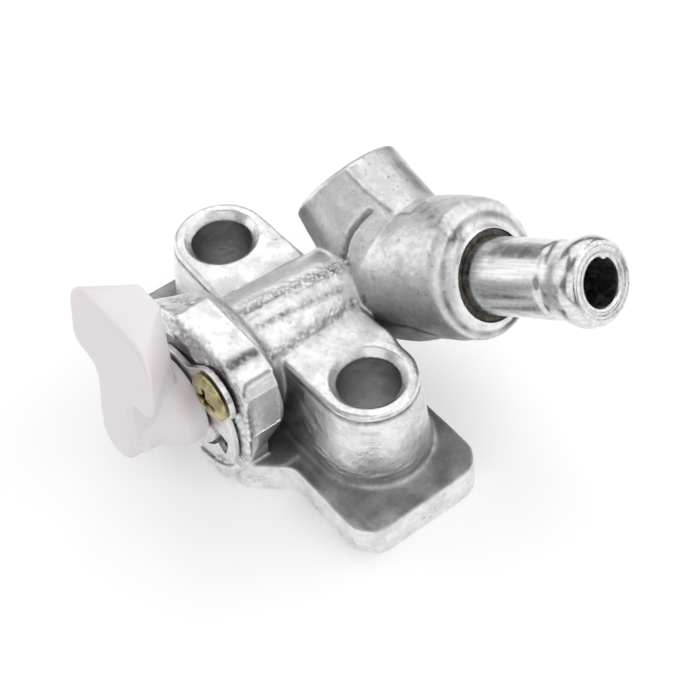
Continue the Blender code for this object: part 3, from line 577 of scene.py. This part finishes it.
def make_zinc_casting(groups):
    """Bright die-cast zinc: grey mottled skin, polished edges, painted shade in and round the corners, and dark
    marks and painted shade along creases, lips and the flange.
    """
    finish, tree, shader = new_finish("zinc_casting", metallic=1.0)
    grain = use_group(tree, groups["cast_grain"])
    edge = use_group(tree, groups["edge_wear"])["Edge"]
    # Painted shade from ambient occlusion: dark in tight corners, and a softer greying round them
    tight = use_group(tree, groups["recess_shade"])["Corner Shade"]
    soft_shade = use_group(tree, groups["recess_shade"], reach=0.009)["Soft Shade"]
    marks = {}
    for name in ("dirt_and_shade", "sand"):
        node = tree.nodes.new("ShaderNodeAttribute")
        node.attribute_name = name
        marks[name] = node.outputs["Fac"]
    tree.links.new(marks["sand"], grain["Height"].node.inputs["Sand"])
    # Darkening: painted corner shade together with the dirt_and_shade attribute, which holds dark marks and
    # painted shade
    darkening = math_node(tree, "MAXIMUM", product(tree, tight, 0.7), product(tree, marks["dirt_and_shade"], 0.9))
    skin = blend_colour(tree, grain["Mottle"], (0.66, 0.665, 0.67), (0.87, 0.87, 0.875))
    flecked = blend_colour(tree, product(tree, grain["Flecks"], 0.75), skin, (0.25, 0.25, 0.255))
    # Painted soft shade greys the metal round the corners
    greyed = blend_colour(tree, soft_shade, flecked, (0.54, 0.545, 0.55))
    worn = blend_colour(tree, edge, greyed, (0.92, 0.92, 0.92))
    kept = product(tree, darkening, math_node(tree, "SUBTRACT", 1.0, product(tree, edge, 0.8)))
    darkened = blend_colour(tree, kept, worn, (0.11, 0.11, 0.115))
    tree.links.new(darkened, shader.inputs["Base Color"])
    rough = spread(tree, grain["Mottle"], 0.0, 1.0, 0.37, 0.24)
    sandy = total(tree, rough, product(tree, marks["sand"], 0.13))
    polished = math_node(tree, "SUBTRACT", sandy, product(tree, edge, 0.1))
    tree.links.new(total(tree, polished, product(tree, darkening, 0.3), clamp=True), shader.inputs["Roughness"])
    bump(tree, shader, grain["Height"], 0.85, 0.12)
    return finish


def make_plated_tube(groups):
    """Plated steel tube: bright, with faint lengthwise draw lines and small dull spots."""
    finish, tree, shader = new_finish("plated_tube", metallic=1.0)
    place = object_place(tree)
    turn = tree.nodes.new("ShaderNodeMapping")
    turn.vector_type = "TEXTURE"
    turn.inputs["Rotation"].default_value = (0, -SPIGOT_RISE, SPIGOT_AZIMUTH)
    turn.inputs["Scale"].default_value = (14, 1, 1)
    tree.links.new(place, turn.inputs["Vector"])
    lines = noise(tree, turn.outputs["Vector"], 2600.0, 3.0, 0.6)
    spots = noise(tree, place, 900.0, 5.0, 0.6)
    greyed = spread(tree, spots, 0.56, 0.74, 0.0, 0.55)
    # Painted shade from ambient occlusion darkens the tube's corners and its foot
    darkening = use_group(tree, groups["recess_shade"], reach=0.0016)["Corner Shade"]
    bright = blend_colour(tree, spread(tree, lines, 0.3, 0.7), (0.60, 0.605, 0.61), (0.79, 0.79, 0.79))
    spotted = blend_colour(tree, greyed, bright, (0.45, 0.45, 0.45))
    darkened = blend_colour(tree, darkening, spotted, (0.08, 0.08, 0.08))
    tree.links.new(darkened, shader.inputs["Base Color"])
    tree.links.new(spread(tree, spots, 0.3, 0.75, 0.16, 0.36), shader.inputs["Roughness"])
    bump(tree, shader, total(tree, lines, spots), 0.25, 0.03)
    return finish


def make_white_nylon(groups):
    """Moulded natural nylon: milky white with a faint rose tint, with painted shade in its corners."""
    soft = {"subsurface_weight": 0.25, "subsurface_scale": 0.0012}
    finish, tree, shader = new_finish("white_nylon", ior=1.53, **soft)
    place = object_place(tree)
    cloud = noise(tree, place, 160.0, 3.0, 0.5)
    fine = noise(tree, place, 2200.0, 3.0, 0.5)
    darkening = use_group(tree, groups["recess_shade"], reach=0.004)["Corner Shade"]
    milk = blend_colour(tree, spread(tree, cloud, 0.3, 0.7), (0.88, 0.83, 0.86), (0.90, 0.86, 0.88))
    darkened = blend_colour(tree, product(tree, darkening, 0.5), milk, (0.42, 0.36, 0.33))
    tree.links.new(darkened, shader.inputs["Base Color"])
    tree.links.new(spread(tree, cloud, 0.3, 0.7, 0.36, 0.5), shader.inputs["Roughness"])
    bump(tree, shader, fine, 0.15, 0.03)
    return finish


def make_yellow_passivate(groups):
    """Yellow-passivated screw: brassy olive with a drifting tint, with painted shade in the cross."""
    finish, tree, shader = new_finish("yellow_passivate", metallic=1.0)
    place = object_place(tree)
    drift = noise(tree, place, 700.0, 4.0, 0.6)
    fine = noise(tree, place, 3000.0, 3.0, 0.5)
    darkening = use_group(tree, groups["recess_shade"], reach=0.0012)["Corner Shade"]
    brass = blend_colour(tree, spread(tree, drift, 0.35, 0.65), (0.27, 0.22, 0.115), (0.58, 0.49, 0.3))
    darkened = blend_colour(tree, darkening, brass, (0.035, 0.025, 0.015))
    tree.links.new(darkened, shader.inputs["Base Color"])
    tree.links.new(spread(tree, drift, 0.3, 0.7, 0.22, 0.4), shader.inputs["Roughness"])
    bump(tree, shader, fine, 0.25, 0.03)
    return finish


def make_plated_sheet(groups):
    """Plated spring sheet: bright grey, spotted, with worn edges and painted shade beside its neighbours."""
    finish, tree, shader = new_finish("plated_sheet", metallic=1.0)
    place = object_place(tree)
    spots = noise(tree, place, 800.0, 5.0, 0.6)
    darkening = use_group(tree, groups["recess_shade"], reach=0.0012)["Corner Shade"]
    edge = use_group(tree, groups["edge_wear"], width=0.0002)["Edge"]
    plain = blend_colour(tree, spread(tree, spots, 0.35, 0.7), (0.62, 0.62, 0.61), (0.80, 0.80, 0.79))
    worn = blend_colour(tree, edge, plain, (0.88, 0.88, 0.88))
    darkened = blend_colour(tree, darkening, worn, (0.07, 0.07, 0.07))
    tree.links.new(darkened, shader.inputs["Base Color"])
    tree.links.new(spread(tree, spots, 0.3, 0.75, 0.26, 0.42), shader.inputs["Roughness"])
    bump(tree, shader, spots, 0.2, 0.04)
    return finish


def make_black_rubber():
    """Black rubber: dull, with a fine grain and a little pale dust."""
    finish, tree, shader = new_finish("black_rubber", ior=1.5)
    place = object_place(tree)
    grain = noise(tree, place, 2400.0, 4.0, 0.6)
    dust = spread(tree, noise(tree, place, 500.0, 5.0, 0.65), 0.5, 0.8)
    dusty = blend_colour(tree, dust, (0.018, 0.018, 0.019), (0.09, 0.088, 0.085))
    tree.links.new(dusty, shader.inputs["Base Color"])
    tree.links.new(spread(tree, grain, 0.3, 0.7, 0.5, 0.75), shader.inputs["Roughness"])
    bump(tree, shader, grain, 0.4, 0.04)
    return finish


def make_sealant_and_shade_finish():
    """Dark brown sealing compound, standing also for the shade in the socket's gap: dull, with paler dry spots.
    """
    finish, tree, shader = new_finish("sealant_and_shade_finish", ior=1.48)
    place = object_place(tree)
    spots = noise(tree, place, 1500.0, 5.0, 0.65)
    colour = blend_colour(tree, spread(tree, spots, 0.42, 0.68), (0.03, 0.024, 0.018), (0.15, 0.125, 0.09))
    tree.links.new(colour, shader.inputs["Base Color"])
    tree.links.new(spread(tree, spots, 0.3, 0.7, 0.4, 0.7), shader.inputs["Roughness"])
    bump(tree, shader, spots, 0.8, 0.1)
    return finish


# Pieces


def spigot_frame(points):
    """Distance along the spigot's axis from the elbow, and the way out from the axis with its length."""
    axis = unit(SPIGOT_AZIMUTH, SPIGOT_RISE)
    along = (points - ELBOW) @ axis
    outward = points - ELBOW - along[:, None] * axis
    return axis, along, outward, np.linalg.norm(outward, axis=1)


def draw_collar(points):
    """Leans the spigot boss's skin to one side, rounds its collar, and draws its recess in to the tube.

    Each move is an amount times windows of the distance along the spigot and across from its axis.
    """
    axis, along, outward, across = spigot_frame(points)
    shoulder = window(across, 5.0, 6.6, 8.5, 9.5) * window(along, 6.0, 10.0, 14.6, 16.4)
    points = points + (SHOULDER_LEAN * shoulder)[:, None] * SHOULDER_WAY
    inward = SHOULDER_DRAW * smooth_step(12.5, 16.0, along) * window(across, 5.6, 6.6, 7.8, 8.6)
    inward += RECESS_DRAW * smooth_step(15.2, 16.0, along) * window(across, 4.2, 4.8, 5.6, 6.6)
    inward += COLLAR_DRAW * smooth_step(15.6, 16.8, along) * window(across, 4.8, 6.0, 7.8, 8.6)
    back = COLLAR_FALL * smooth_step(4.9, 6.2, across) ** 2 * smooth_step(15.9, 16.8, along)
    return points - outward * (inward / across)[:, None] - axis * back[:, None]


def line_marks(points, rough):
    """The height and darkening along the lines: painted shade along the crease, step, neck and hollow, darker
    marks along the rest; bells of the distance to each, which ripples break up.
    """
    rise, dirt_and_shade = np.zeros((2, len(points)))
    for line, (width, height, swing), (dark_width, darkness, dark_swing) in LINE_MARKS:
        distance = near_line(points, line)
        rise += bell(distance, width) * (height + swing * rough)
        dirt_and_shade += bell(distance, dark_width) * (darkness + dark_swing * rough)
    return rise, dirt_and_shade


def boss_marks(points, normals, rough, patchy):
    """The bolt bosses: a worn lip round the top with painted shade under it, chatter near the foot, and painted
    shade on the flange and in the fillets round them.
    """
    x, y, z = np.abs(points[:, 0]), points[:, 1], points[:, 2]
    from_bolt = np.hypot(x - BOSS_PLACE, y)
    upright = smooth_step(0.75, 0.45, normals[:, 2])
    wall = window(from_bolt, 4.2, 4.6, 8.0, 8.6) * smooth_step(5.0, 5.8, x) * upright
    lip = wall * bell(BOSS_TOP - BOSS_LIP - z, 0.26)
    chatter = wall * bell(z - FLANGE_TOP - BOSS_CHATTER, 0.7)
    scored = ripple(points * (0.4, 0.4, 2.4), 0.3, 26)
    fillets = window(from_bolt, 4.2, 4.6, 8.4, 9.0) * bell(z - FLANGE_TOP - BOSS_FILLET, 0.5)
    shelf = smooth_step(0.6, 0.9, normals[:, 2]) * smooth_step(FLANGE_TOP + 0.9, FLANGE_TOP + 0.2, z)
    # Painted shade under the lip, on the flange's top and in the fillets; the chatter's darkening is its own
    # scored marks
    dirt_and_shade = (0.85 + 0.3 * rough) * lip + (0.3 + 0.35 * scored) * chatter
    dirt_and_shade += (0.72 + 0.15 * patchy) * np.maximum(shelf, fillets)
    return 0.05 * chatter * scored - 0.15 * lip, dirt_and_shade


def housing_marks(points, rough):
    """The valve housing: a sandy rim round its face, and a hollow let into the side of its lug."""
    x, y, z = points.T
    rim = bell(y - HOUSING_FACE, 0.7) * smooth_step(6.8, 7.4, np.hypot(x, z - BARREL_HEIGHT))
    pocket = window(y, -12.7, -12.3, -7.6, -7.0) * smooth_step(9.3, 9.7, x) * smooth_step(19.8, 19.3, z)
    return 0.08 * rim * rough - 0.22 * pocket, (0.15 + 0.4 * rough) * rim


def spigot_marks(points, normals, rough, patchy):
    """The spigot boss and the blank arm: painted shade at the collar's foot and under the boss, a stain, and
    painted shade along the arm's sides.
    """
    x, y, z = points.T
    back, up = normals[:, 1], normals[:, 2]
    _, along, _, across = spigot_frame(points)
    boss = smooth_step(2.0, 5.0, along) * smooth_step(9.5, 8.5, across)
    foot = bell(along - COLLAR_FOOT, 0.14) * window(across, 5.5, 5.9, 6.4, 6.9)
    # Painted shade under the spigot boss, on faces that turn downwards
    shaded_underside = boss * smooth_step(16.2, 15.0, along) * smooth_step(0.8, -0.2, up)
    arm = smooth_step(3.0, 0.5, x) * smooth_step(5.2, 6.2, y) * smooth_step(14.0, 16.5, z)
    # Painted shade in the crease at the collar's foot
    dirt_and_shade = (0.6 + 0.35 * patchy) * foot + (0.62 + 0.12 * patchy + 0.1 * rough) * shaded_underside
    dirt_and_shade += (0.3 + 0.5 * rough + 0.3 * patchy) * bell(near_line(points, SPIGOT_STAIN), 1.2)
    # Painted shade along the arm's sides, picked by which way each face turns
    dirt_and_shade += arm * (0.5 + 0.25 * patchy) * bell(back - 0.62, 0.2)
    dirt_and_shade += arm * (0.6 + 0.15 * patchy) * smooth_step(-0.6, -0.95, back) * smooth_step(0.6, 0.1, up)
    return -0.1 * foot, dirt_and_shade, boss


def cast_marks(points, normals):
    """What the die and use left on the casting, at each point, with the shade painted on it: the skin's height,
    dark marks and painted shade, and sandy grain.

    The height is three ripples and each mark's own. The spigot boss and the barrel are sandier than the rest.
    """
    rough = ripple(points, 0.16, 21)
    patchy = ripple(points, 0.9, 25)
    waves = 0.03 * ripple(points, 1.4, 22) + 0.016 * ripple(points, 0.6, 23) + 0.01 * ripple(points, 0.25, 24)
    line_rise, line_dirt_and_shade = line_marks(points, rough)
    boss_rise, boss_dirt_and_shade = boss_marks(points, normals, rough, patchy)
    housing_rise, housing_soil = housing_marks(points, rough)
    spigot_rise, spigot_dirt_and_shade, spigot = spigot_marks(points, normals, rough, patchy)
    x, y, z = points.T
    barrel = smooth_step(6.5, 5.5, np.abs(x)) * smooth_step(-8.0, -7.0, y) * smooth_step(12.0, 15.0, z)
    rise = waves + line_rise + boss_rise + housing_rise + spigot_rise
    # dirt_and_shade: a stain and dark marks on die lines, with painted shade in creases, under lips and bosses
    # and on the flange
    dirt_and_shade = line_dirt_and_shade + boss_dirt_and_shade + housing_soil + spigot_dirt_and_shade
    return rise, dirt_and_shade, 0.3 + 0.7 * np.maximum(spigot, 0.7 * barrel)


def make_casting(finish):
    """The casting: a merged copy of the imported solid, softened as a die leaves it, marked and thinned out."""
    item = piece("casting", merged_copy("tap_body", "casting"), "tap", finish, "tap_body")
    soften(item, CASTING_VOXEL, CASTING_ROUNDS)
    mesh, points, normals = settle(item)
    rise, dirt_and_shade, sand = cast_marks(points, normals)
    points = draw_collar(points + normals * rise[:, None])
    mesh.vertices.foreach_set("co", (points * MM).ravel())
    for name, values in (("dirt_and_shade", dirt_and_shade), ("sand", sand)):
        mesh.attributes.new(name, "FLOAT", "POINT").data.foreach_set("value", np.clip(values, 0, 1))
    thin = item.modifiers.new("thin", "DECIMATE")
    thin.ratio = CASTING_KEPT
    return item


def tube_profile():
    """The tube's closed section as (radius, distance from the elbow): bead, neck, plain run, bore and lip."""
    crest = TUBE_TIP - BEAD_NOSE
    turn = np.radians(np.linspace(90, 0, 14))
    nose_radius = BEAD_RADIUS - BEAD_NOSE_ROUND * (1 - np.cos(turn))
    nose = np.stack((nose_radius, TUBE_TIP - BEAD_NOSE * (1 - np.sin(turn))), -1)
    share = np.linspace(0, 1, 24)[1:]
    fall = NECK_RADIUS + (BEAD_RADIUS - NECK_RADIUS) * (1 + np.cos(np.pi * share)) / 2
    bead = np.stack((fall, crest + (NECK_PLACE - crest) * share), -1)
    share = np.linspace(0, 1, 10)[1:]
    rise = NECK_RADIUS + (TUBE_RADIUS - NECK_RADIUS) * smooth_step(0, 1, share)
    neck = np.stack((rise, NECK_PLACE - NECK_RUN * share), -1)
    plain = np.stack((np.full(30, TUBE_RADIUS), np.linspace(NECK_PLACE - 1.2, TUBE_ROOT, 30)), -1)
    bore = np.stack((np.full(30, TUBE_BORE_RADIUS), np.linspace(TUBE_ROOT, TUBE_TIP - 0.6, 30)), -1)
    lip = [(TUBE_BORE_RADIUS, TUBE_TIP - 0.35), (TUBE_BORE_RADIUS + 0.12, TUBE_TIP - 0.1)]
    face = [(2.9, TUBE_TIP - 0.08), (3.1, TUBE_TIP - 0.12), (3.32, TUBE_TIP - 0.04)]
    return np.vstack((nose, bead, neck, plain, bore, lip, face))


def make_tube(finish):
    """The hose tube: its section turned about the spigot's axis, with a burr where the cut-off tool left."""
    grid = revolve(tube_profile(), 160)
    radius = np.linalg.norm(grid[..., :2], axis=-1, keepdims=True)
    angle = np.arctan2(grid[..., 1], grid[..., 0])
    near_tip = smooth_step(1.2, 0.1, TUBE_TIP - grid[..., 2])
    near_lip = near_tip * smooth_step(0.7, 0.1, radius[..., 0] - TUBE_BORE_RADIUS)
    burr = bell((angle - BURR_ANGLE + np.pi) % TURN - np.pi, BURR_WIDTH) * near_lip
    grid[..., :2] *= 1 - BURR_HEIGHT * burr[..., None] / radius
    grid[..., :2] *= 1 + 0.012 * ripple(grid, 2.2, 5)[..., None] / radius
    grid = from_axis(grid, ELBOW, unit(SPIGOT_AZIMUTH, SPIGOT_RISE))
    return piece("tube", join("tube", [surface("tube", grid, closed_rows=True)]), "tap", finish, "hose_tube")


def make_sealant_and_shade(finish):
    """The dark ring round the tube's foot, sealing compound and painted shade of the socket's gap in one: a low
    ring of uneven height and width.
    """
    turn = np.linspace(0, TURN, 160, endpoint=False)
    around = np.linspace(0, TURN, 20, endpoint=False)[:, None]
    wave = ripple(np.stack((np.cos(turn), np.sin(turn), 0 * turn), -1), 0.25, 11)
    radius = SEALANT_AND_SHADE_RADIUS + (0.48 + 0.06 * wave) * np.cos(around)
    height = SEALANT_AND_SHADE_PLACE + (0.38 + 0.08 * wave) * np.sin(around)
    grid = np.stack((radius * np.cos(turn), radius * np.sin(turn), height), -1)
    grid = from_axis(grid, ELBOW, unit(SPIGOT_AZIMUTH, SPIGOT_RISE))
    return piece("sealant", join("sealant", [surface("sealant", grid, closed_rows=True)]), "tap", finish)


def lever_front_outline():
    """The lever's front outline: a round lower end on the barrel's axis, a straight stem and a wide head."""
    right = [
        (STEM_HALF, 0.0, 0.3),
        (STEM_HALF, HEAD_START, 1.3),
        (HEAD_HALF, HEAD_START + HEAD_SLOPE, 1.9),
        (HEAD_HALF, LEVER_TOP, 3.6),
    ]
    left = [(-x, y, reach) for x, y, reach in reversed(right)]
    turn = np.radians(np.linspace(186, 354, 40))
    end = np.stack((STEM_HALF * np.cos(turn), STEM_HALF * np.sin(turn)), -1)
    return resample(np.vstack((fillet(right + left), end)), 360)


def make_grip():
    """The lever's grip: straight lines from a narrow back to the wide front, with a rounded front rim.

    share runs from 0 at the back to 1 at the front. The last quarter-turn draws the outline in and lays the
    rim over, so that the rim is round.
    """
    front = lever_front_outline()
    rise = smooth_step(0, HEAD_START, front[:, 1])
    half = STEM_HALF + (SPINE_HALF - STEM_HALF) * rise
    back = np.stack((half * np.tanh(front[:, 0] / half), front[:, 1]), -1)
    over = back[:, 1] - LEVER_TOP + 0.4
    back[:, 1] = np.where(over > 0, LEVER_TOP - 0.4 + over * 0.5, back[:, 1])
    turn = np.radians(np.linspace(0, 84, 8))
    deep = LEVER_FRONT - LEVER_BACK
    rim_start = 1 - GRIP_RIM / deep
    rim = 1 - GRIP_RIM / deep * (1 - np.sin(turn[1:]))
    shares = np.concatenate(([0, 0.03], np.linspace(0.06, rim_start, 16), rim))
    depths = np.concatenate(([0.35, 0.08], np.zeros(16), GRIP_RIM * (1 - np.cos(turn[1:]))))
    rows = []
    for share, depth in zip(shares, depths):
        ring = shrink(back, depth) * (1 - share) + shrink(front, depth) * share
        out = LEVER_BACK + (deep - LEVER_LEAN * ring[:, 1]) * share
        rows.append(np.column_stack((ring, out)))
    return surface("grip", from_barrel(np.array(rows)), caps=True)


def make_hub():
    """The lever's hub: a nose, a flare, a flange over the plate, a neck through it and the rotor disc."""
    corners = [
        (0.0, HUB_FRONT, 0.0),
        (HUB_RADIUS, HUB_FRONT, 0.0),
        (HUB_RADIUS, HUB_FLARE, 1.0),
        (HUB_FLANGE_RADIUS, HUB_FLANGE_FRONT, 0.7),
        (HUB_FLANGE_RADIUS, HUB_FLANGE_BACK, 0.15),
        (HUB_RADIUS, HUB_FLANGE_BACK, 0.1),
        (HUB_RADIUS, ROTOR_FRONT, 0.1),
        (ROTOR_RADIUS, ROTOR_FRONT, 0.3),
        (ROTOR_RADIUS, ROTOR_BACK, 0.1),
        (0.0, ROTOR_BACK, 0.0),
    ]
    return surface("hub", from_barrel(revolve(fillet(corners), 128)), closed_rows=True)


def make_stop():
    """The lever's stop: a sector that stands out of the hub into the plate's window, its back edge eased."""
    turn = np.radians(np.linspace(*STOP_ANGLES, 24))
    inner = STOP_ROOT * np.stack((np.cos(turn[::-1]), np.sin(turn[::-1])), -1)
    outer = STOP_RADIUS * np.stack((np.cos(turn), np.sin(turn)), -1)
    outline = resample(np.vstack((outer, inner)), 96)
    rows = []
    for depth, out in ((0.05, STOP_BACK), (0, STOP_BACK + 0.1), (0, STOP_FRONT)):
        rows.append(np.column_stack((shrink(outline, depth), np.full(len(outline), out))))
    return surface("stop", from_barrel(np.array(rows)), caps=True)


def make_lever(finish):
    """The lever, moulded in one: grip, hub, stop and rotor disc under one soft skin."""
    mesh = join("lever_moulding", [make_grip(), make_hub(), make_stop()])
    item = piece("lever_moulding", mesh, "lever", finish, "lever")
    soften(item, LEVER_VOXEL, LEVER_ROUNDS)
    return item


def screw_head():
    """The head's face: a square grid drawn out to a disc, domed, with a cross and a small well let in."""
    side = np.linspace(-1, 1, SCREW_GRID)
    u, v = np.meshgrid(side, side)
    x = u * np.sqrt(1 - v * v / 2) * SCREW_HEAD_RADIUS
    y = v * np.sqrt(1 - u * u / 2) * SCREW_HEAD_RADIUS
    reach = np.hypot(x, y)
    dome = SCREW_HEAD_HEIGHT * (1 - 0.55 * np.clip(reach / SCREW_HEAD_RADIUS, 0, 1) ** 4)
    arms = []
    for run, width in ((np.abs(x), np.abs(y)), (np.abs(y), np.abs(x))):
        inside = smooth_step(RECESS_HALF + 0.1, RECESS_HALF - 0.04, width)
        arms.append(inside * smooth_step(RECESS_REACH, RECESS_REACH - 0.5, run))
    well = 0.3 * smooth_step(0.95, 0.3, reach)
    cross = np.maximum(np.maximum(*arms), well)
    return np.stack((x, y, SCREW_SEAT + dome - RECESS_DEPTH * cross), -1)


def make_screw(node, finish):
    """A pan-head screw: its face, then the skirt and shank as rings that the face's rim is drawn in to."""
    head = screw_head()
    index = np.arange(SCREW_GRID**2).reshape(SCREW_GRID, SCREW_GRID)
    quads = np.stack((index[:-1, :-1], index[:-1, 1:], index[1:, 1:], index[1:, :-1]), -1).reshape(-1, 4)
    rim = np.concatenate((index[0], index[1:, -1], index[-1, -2::-1], index[-2:0:-1, 0]))
    edge = head.reshape(-1, 3)[rim]
    shank = SCREW_SHANK_RADIUS / SCREW_HEAD_RADIUS
    widths = np.array((1.0, 0.985, shank, shank, 0.1))
    outs = np.array((SCREW_SEAT + 0.1, SCREW_SEAT, SCREW_SEAT, SCREW_END + 0.8, SCREW_END))
    skirt = np.concatenate((edge[None], np.repeat(edge[None], 5, 0) * widths[:, None, None]))
    skirt[1:, :, 2] = outs[:, None]
    tilt = np.radians(SCREW_ANGLES[node])
    spot = np.array((SCREW_CIRCLE * np.cos(tilt), SCREW_CIRCLE * np.sin(tilt), 0))
    face = bpy.data.meshes.new(node)
    face.from_pydata(from_barrel(head.reshape(-1, 3) + spot) * MM, [], quads.tolist())
    mesh = join(f"{node}_fastener", [face, surface(node, from_barrel(skirt + spot))], fill=True)
    return piece(f"{node}_fastener", mesh, "tap", finish, node)


def make_plate(finish):
    """The retaining plate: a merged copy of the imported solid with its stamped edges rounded."""
    mesh = merged_copy("retaining_plate", "cover_plate", flatten=True)
    item = piece("cover_plate", mesh, "tap", finish, "retaining_plate")
    edge = item.modifiers.new("edge", "BEVEL")
    edge.width = 0.09 * MM
    edge.segments = 2
    edge.limit_method = "ANGLE"
    edge.angle_limit = np.radians(40)
    mesh.polygons.foreach_set("use_smooth", np.zeros(len(mesh.polygons), bool))
    return item


def make_ring(finish):
    """The base ring: a round section turned about the inlet's axis, with a fine mould line outside."""
    around = np.linspace(0, TURN, 28, endpoint=False)
    radius = RING_RADIUS + (RING_HALF + 0.03 * bell(around, 0.2)) * np.cos(around)
    section = np.stack((radius, RING_PLACE + RING_HALF * np.sin(around)), -1)
    grid = revolve(section, 128) + np.array((0, -INLET_PLACE, 0))
    mesh = join("ring_seal", [surface("ring_seal", grid, closed_rows=True)])
    return piece("ring_seal", mesh, "tap", finish, "base_ring")


def dress():
    """Every finish and every piece."""
    groups = {
        "cast_grain": make_cast_grain(),
        "edge_wear": make_edge_wear(),
        "recess_shade": make_recess_shade(),
    }
    rubber = make_black_rubber()
    sheet = make_plated_sheet(groups)
    brass = make_yellow_passivate(groups)
    make_casting(make_zinc_casting(groups))
    make_tube(make_plated_tube(groups))
    make_sealant_and_shade(make_sealant_and_shade_finish())
    make_lever(make_white_nylon(groups))
    make_plate(sheet)
    make_ring(rubber)
    for node in SCREW_ANGLES:
        make_screw(node, brass)
    for node, finish in (("valve_seal", rubber), ("wave_washer", sheet)):
        item = bpy.data.objects[node]
        item.data.materials.clear()
        item.data.materials.append(finish)


def make_floor():
    """A pale floor under the tap. Its glow makes up its white, more far away and a little in reflections."""
    mesh = bpy.data.meshes.new("floor")
    corners = FLOOR_HALF * np.array(((-1, -1, 0), (1, -1, 0), (1, 1, 0), (-1, 1, 0)))
    mesh.from_pydata(corners + (0, 0, FLOOR_LEVEL * MM), [], [(0, 1, 2, 3)])
    floor = bpy.data.objects.new("floor", mesh)
    bpy.context.scene.collection.objects.link(floor)
    paint, tree, shader = new_finish("pale_floor", roughness=0.7)
    shader.inputs["Base Color"].default_value = (0.93, 0.93, 0.93, 1)
    shader.inputs["Specular IOR Level"].default_value = 0.2
    shader.inputs["Emission Color"].default_value = (1, 1, 1, 1)
    ray = tree.nodes.new("ShaderNodeLightPath").outputs
    reflected = math_node(tree, "MAXIMUM", ray["Is Glossy Ray"], ray["Is Transmission Ray"])
    away = tree.nodes.new("ShaderNodeVectorMath")
    away.operation = "LENGTH"
    tree.links.new(object_place(tree), away.inputs[0])
    glow = spread(tree, away.outputs["Value"], *FLOOR_FADE, *FLOOR_SEEN)
    seen = product(tree, ray["Is Camera Ray"], glow)
    strength = total(tree, product(tree, reflected, FLOOR_REFLECTED), seen)
    tree.links.new(strength, shader.inputs["Emission Strength"])
    mesh.materials.append(paint)


def make_world():
    """A soft grey world that the camera sees as white."""
    world = bpy.data.worlds.new("studio")
    bpy.context.scene.world = world
    world.use_nodes = True
    sky = world.node_tree
    backdrop = sky.nodes["Background"].inputs
    backdrop["Color"].default_value = (1, 1, 1, 1)
    camera_ray = sky.nodes.new("ShaderNodeLightPath").outputs["Is Camera Ray"]
    seen = product(sky, camera_ray, WORLD_SEEN - WORLD_STRENGTH)
    sky.links.new(total(sky, seen, WORLD_STRENGTH), backdrop["Strength"])


def make_lamps():
    """Broad square lamps all round, turned towards the tap."""
    for name, place, size, power in LAMPS:
        lamp = bpy.data.lights.new(name, "AREA")
        lamp.size = size
        lamp.energy = power
        item = bpy.data.objects.new(name, lamp)
        item.location = place
        item.rotation_euler = (Vector(LAMP_TARGET) - Vector(place)).to_track_quat("-Z", "Y").to_euler()
        bpy.context.scene.collection.objects.link(item)


def make_camera():
    """The photograph's camera: its place, its long lens, and axes from its forward and right directions."""
    data = bpy.data.cameras.new("camera")
    data.sensor_width = 36
    data.lens = CAMERA_LENS
    data.clip_start = 0.01
    item = bpy.data.objects.new("camera", data)
    down = CAMERA_FORWARD.cross(CAMERA_RIGHT).normalized()
    right = down.cross(CAMERA_FORWARD)
    axes = Matrix((right, -down, -CAMERA_FORWARD)).transposed().to_4x4()
    item.matrix_world = Matrix.Translation(CAMERA_PLACE) @ axes
    bpy.context.scene.collection.objects.link(item)
    bpy.context.scene.camera = item


dress()
make_floor()
make_world()
make_lamps()
make_camera()
bpy.context.scene.view_settings.view_transform = "Standard"
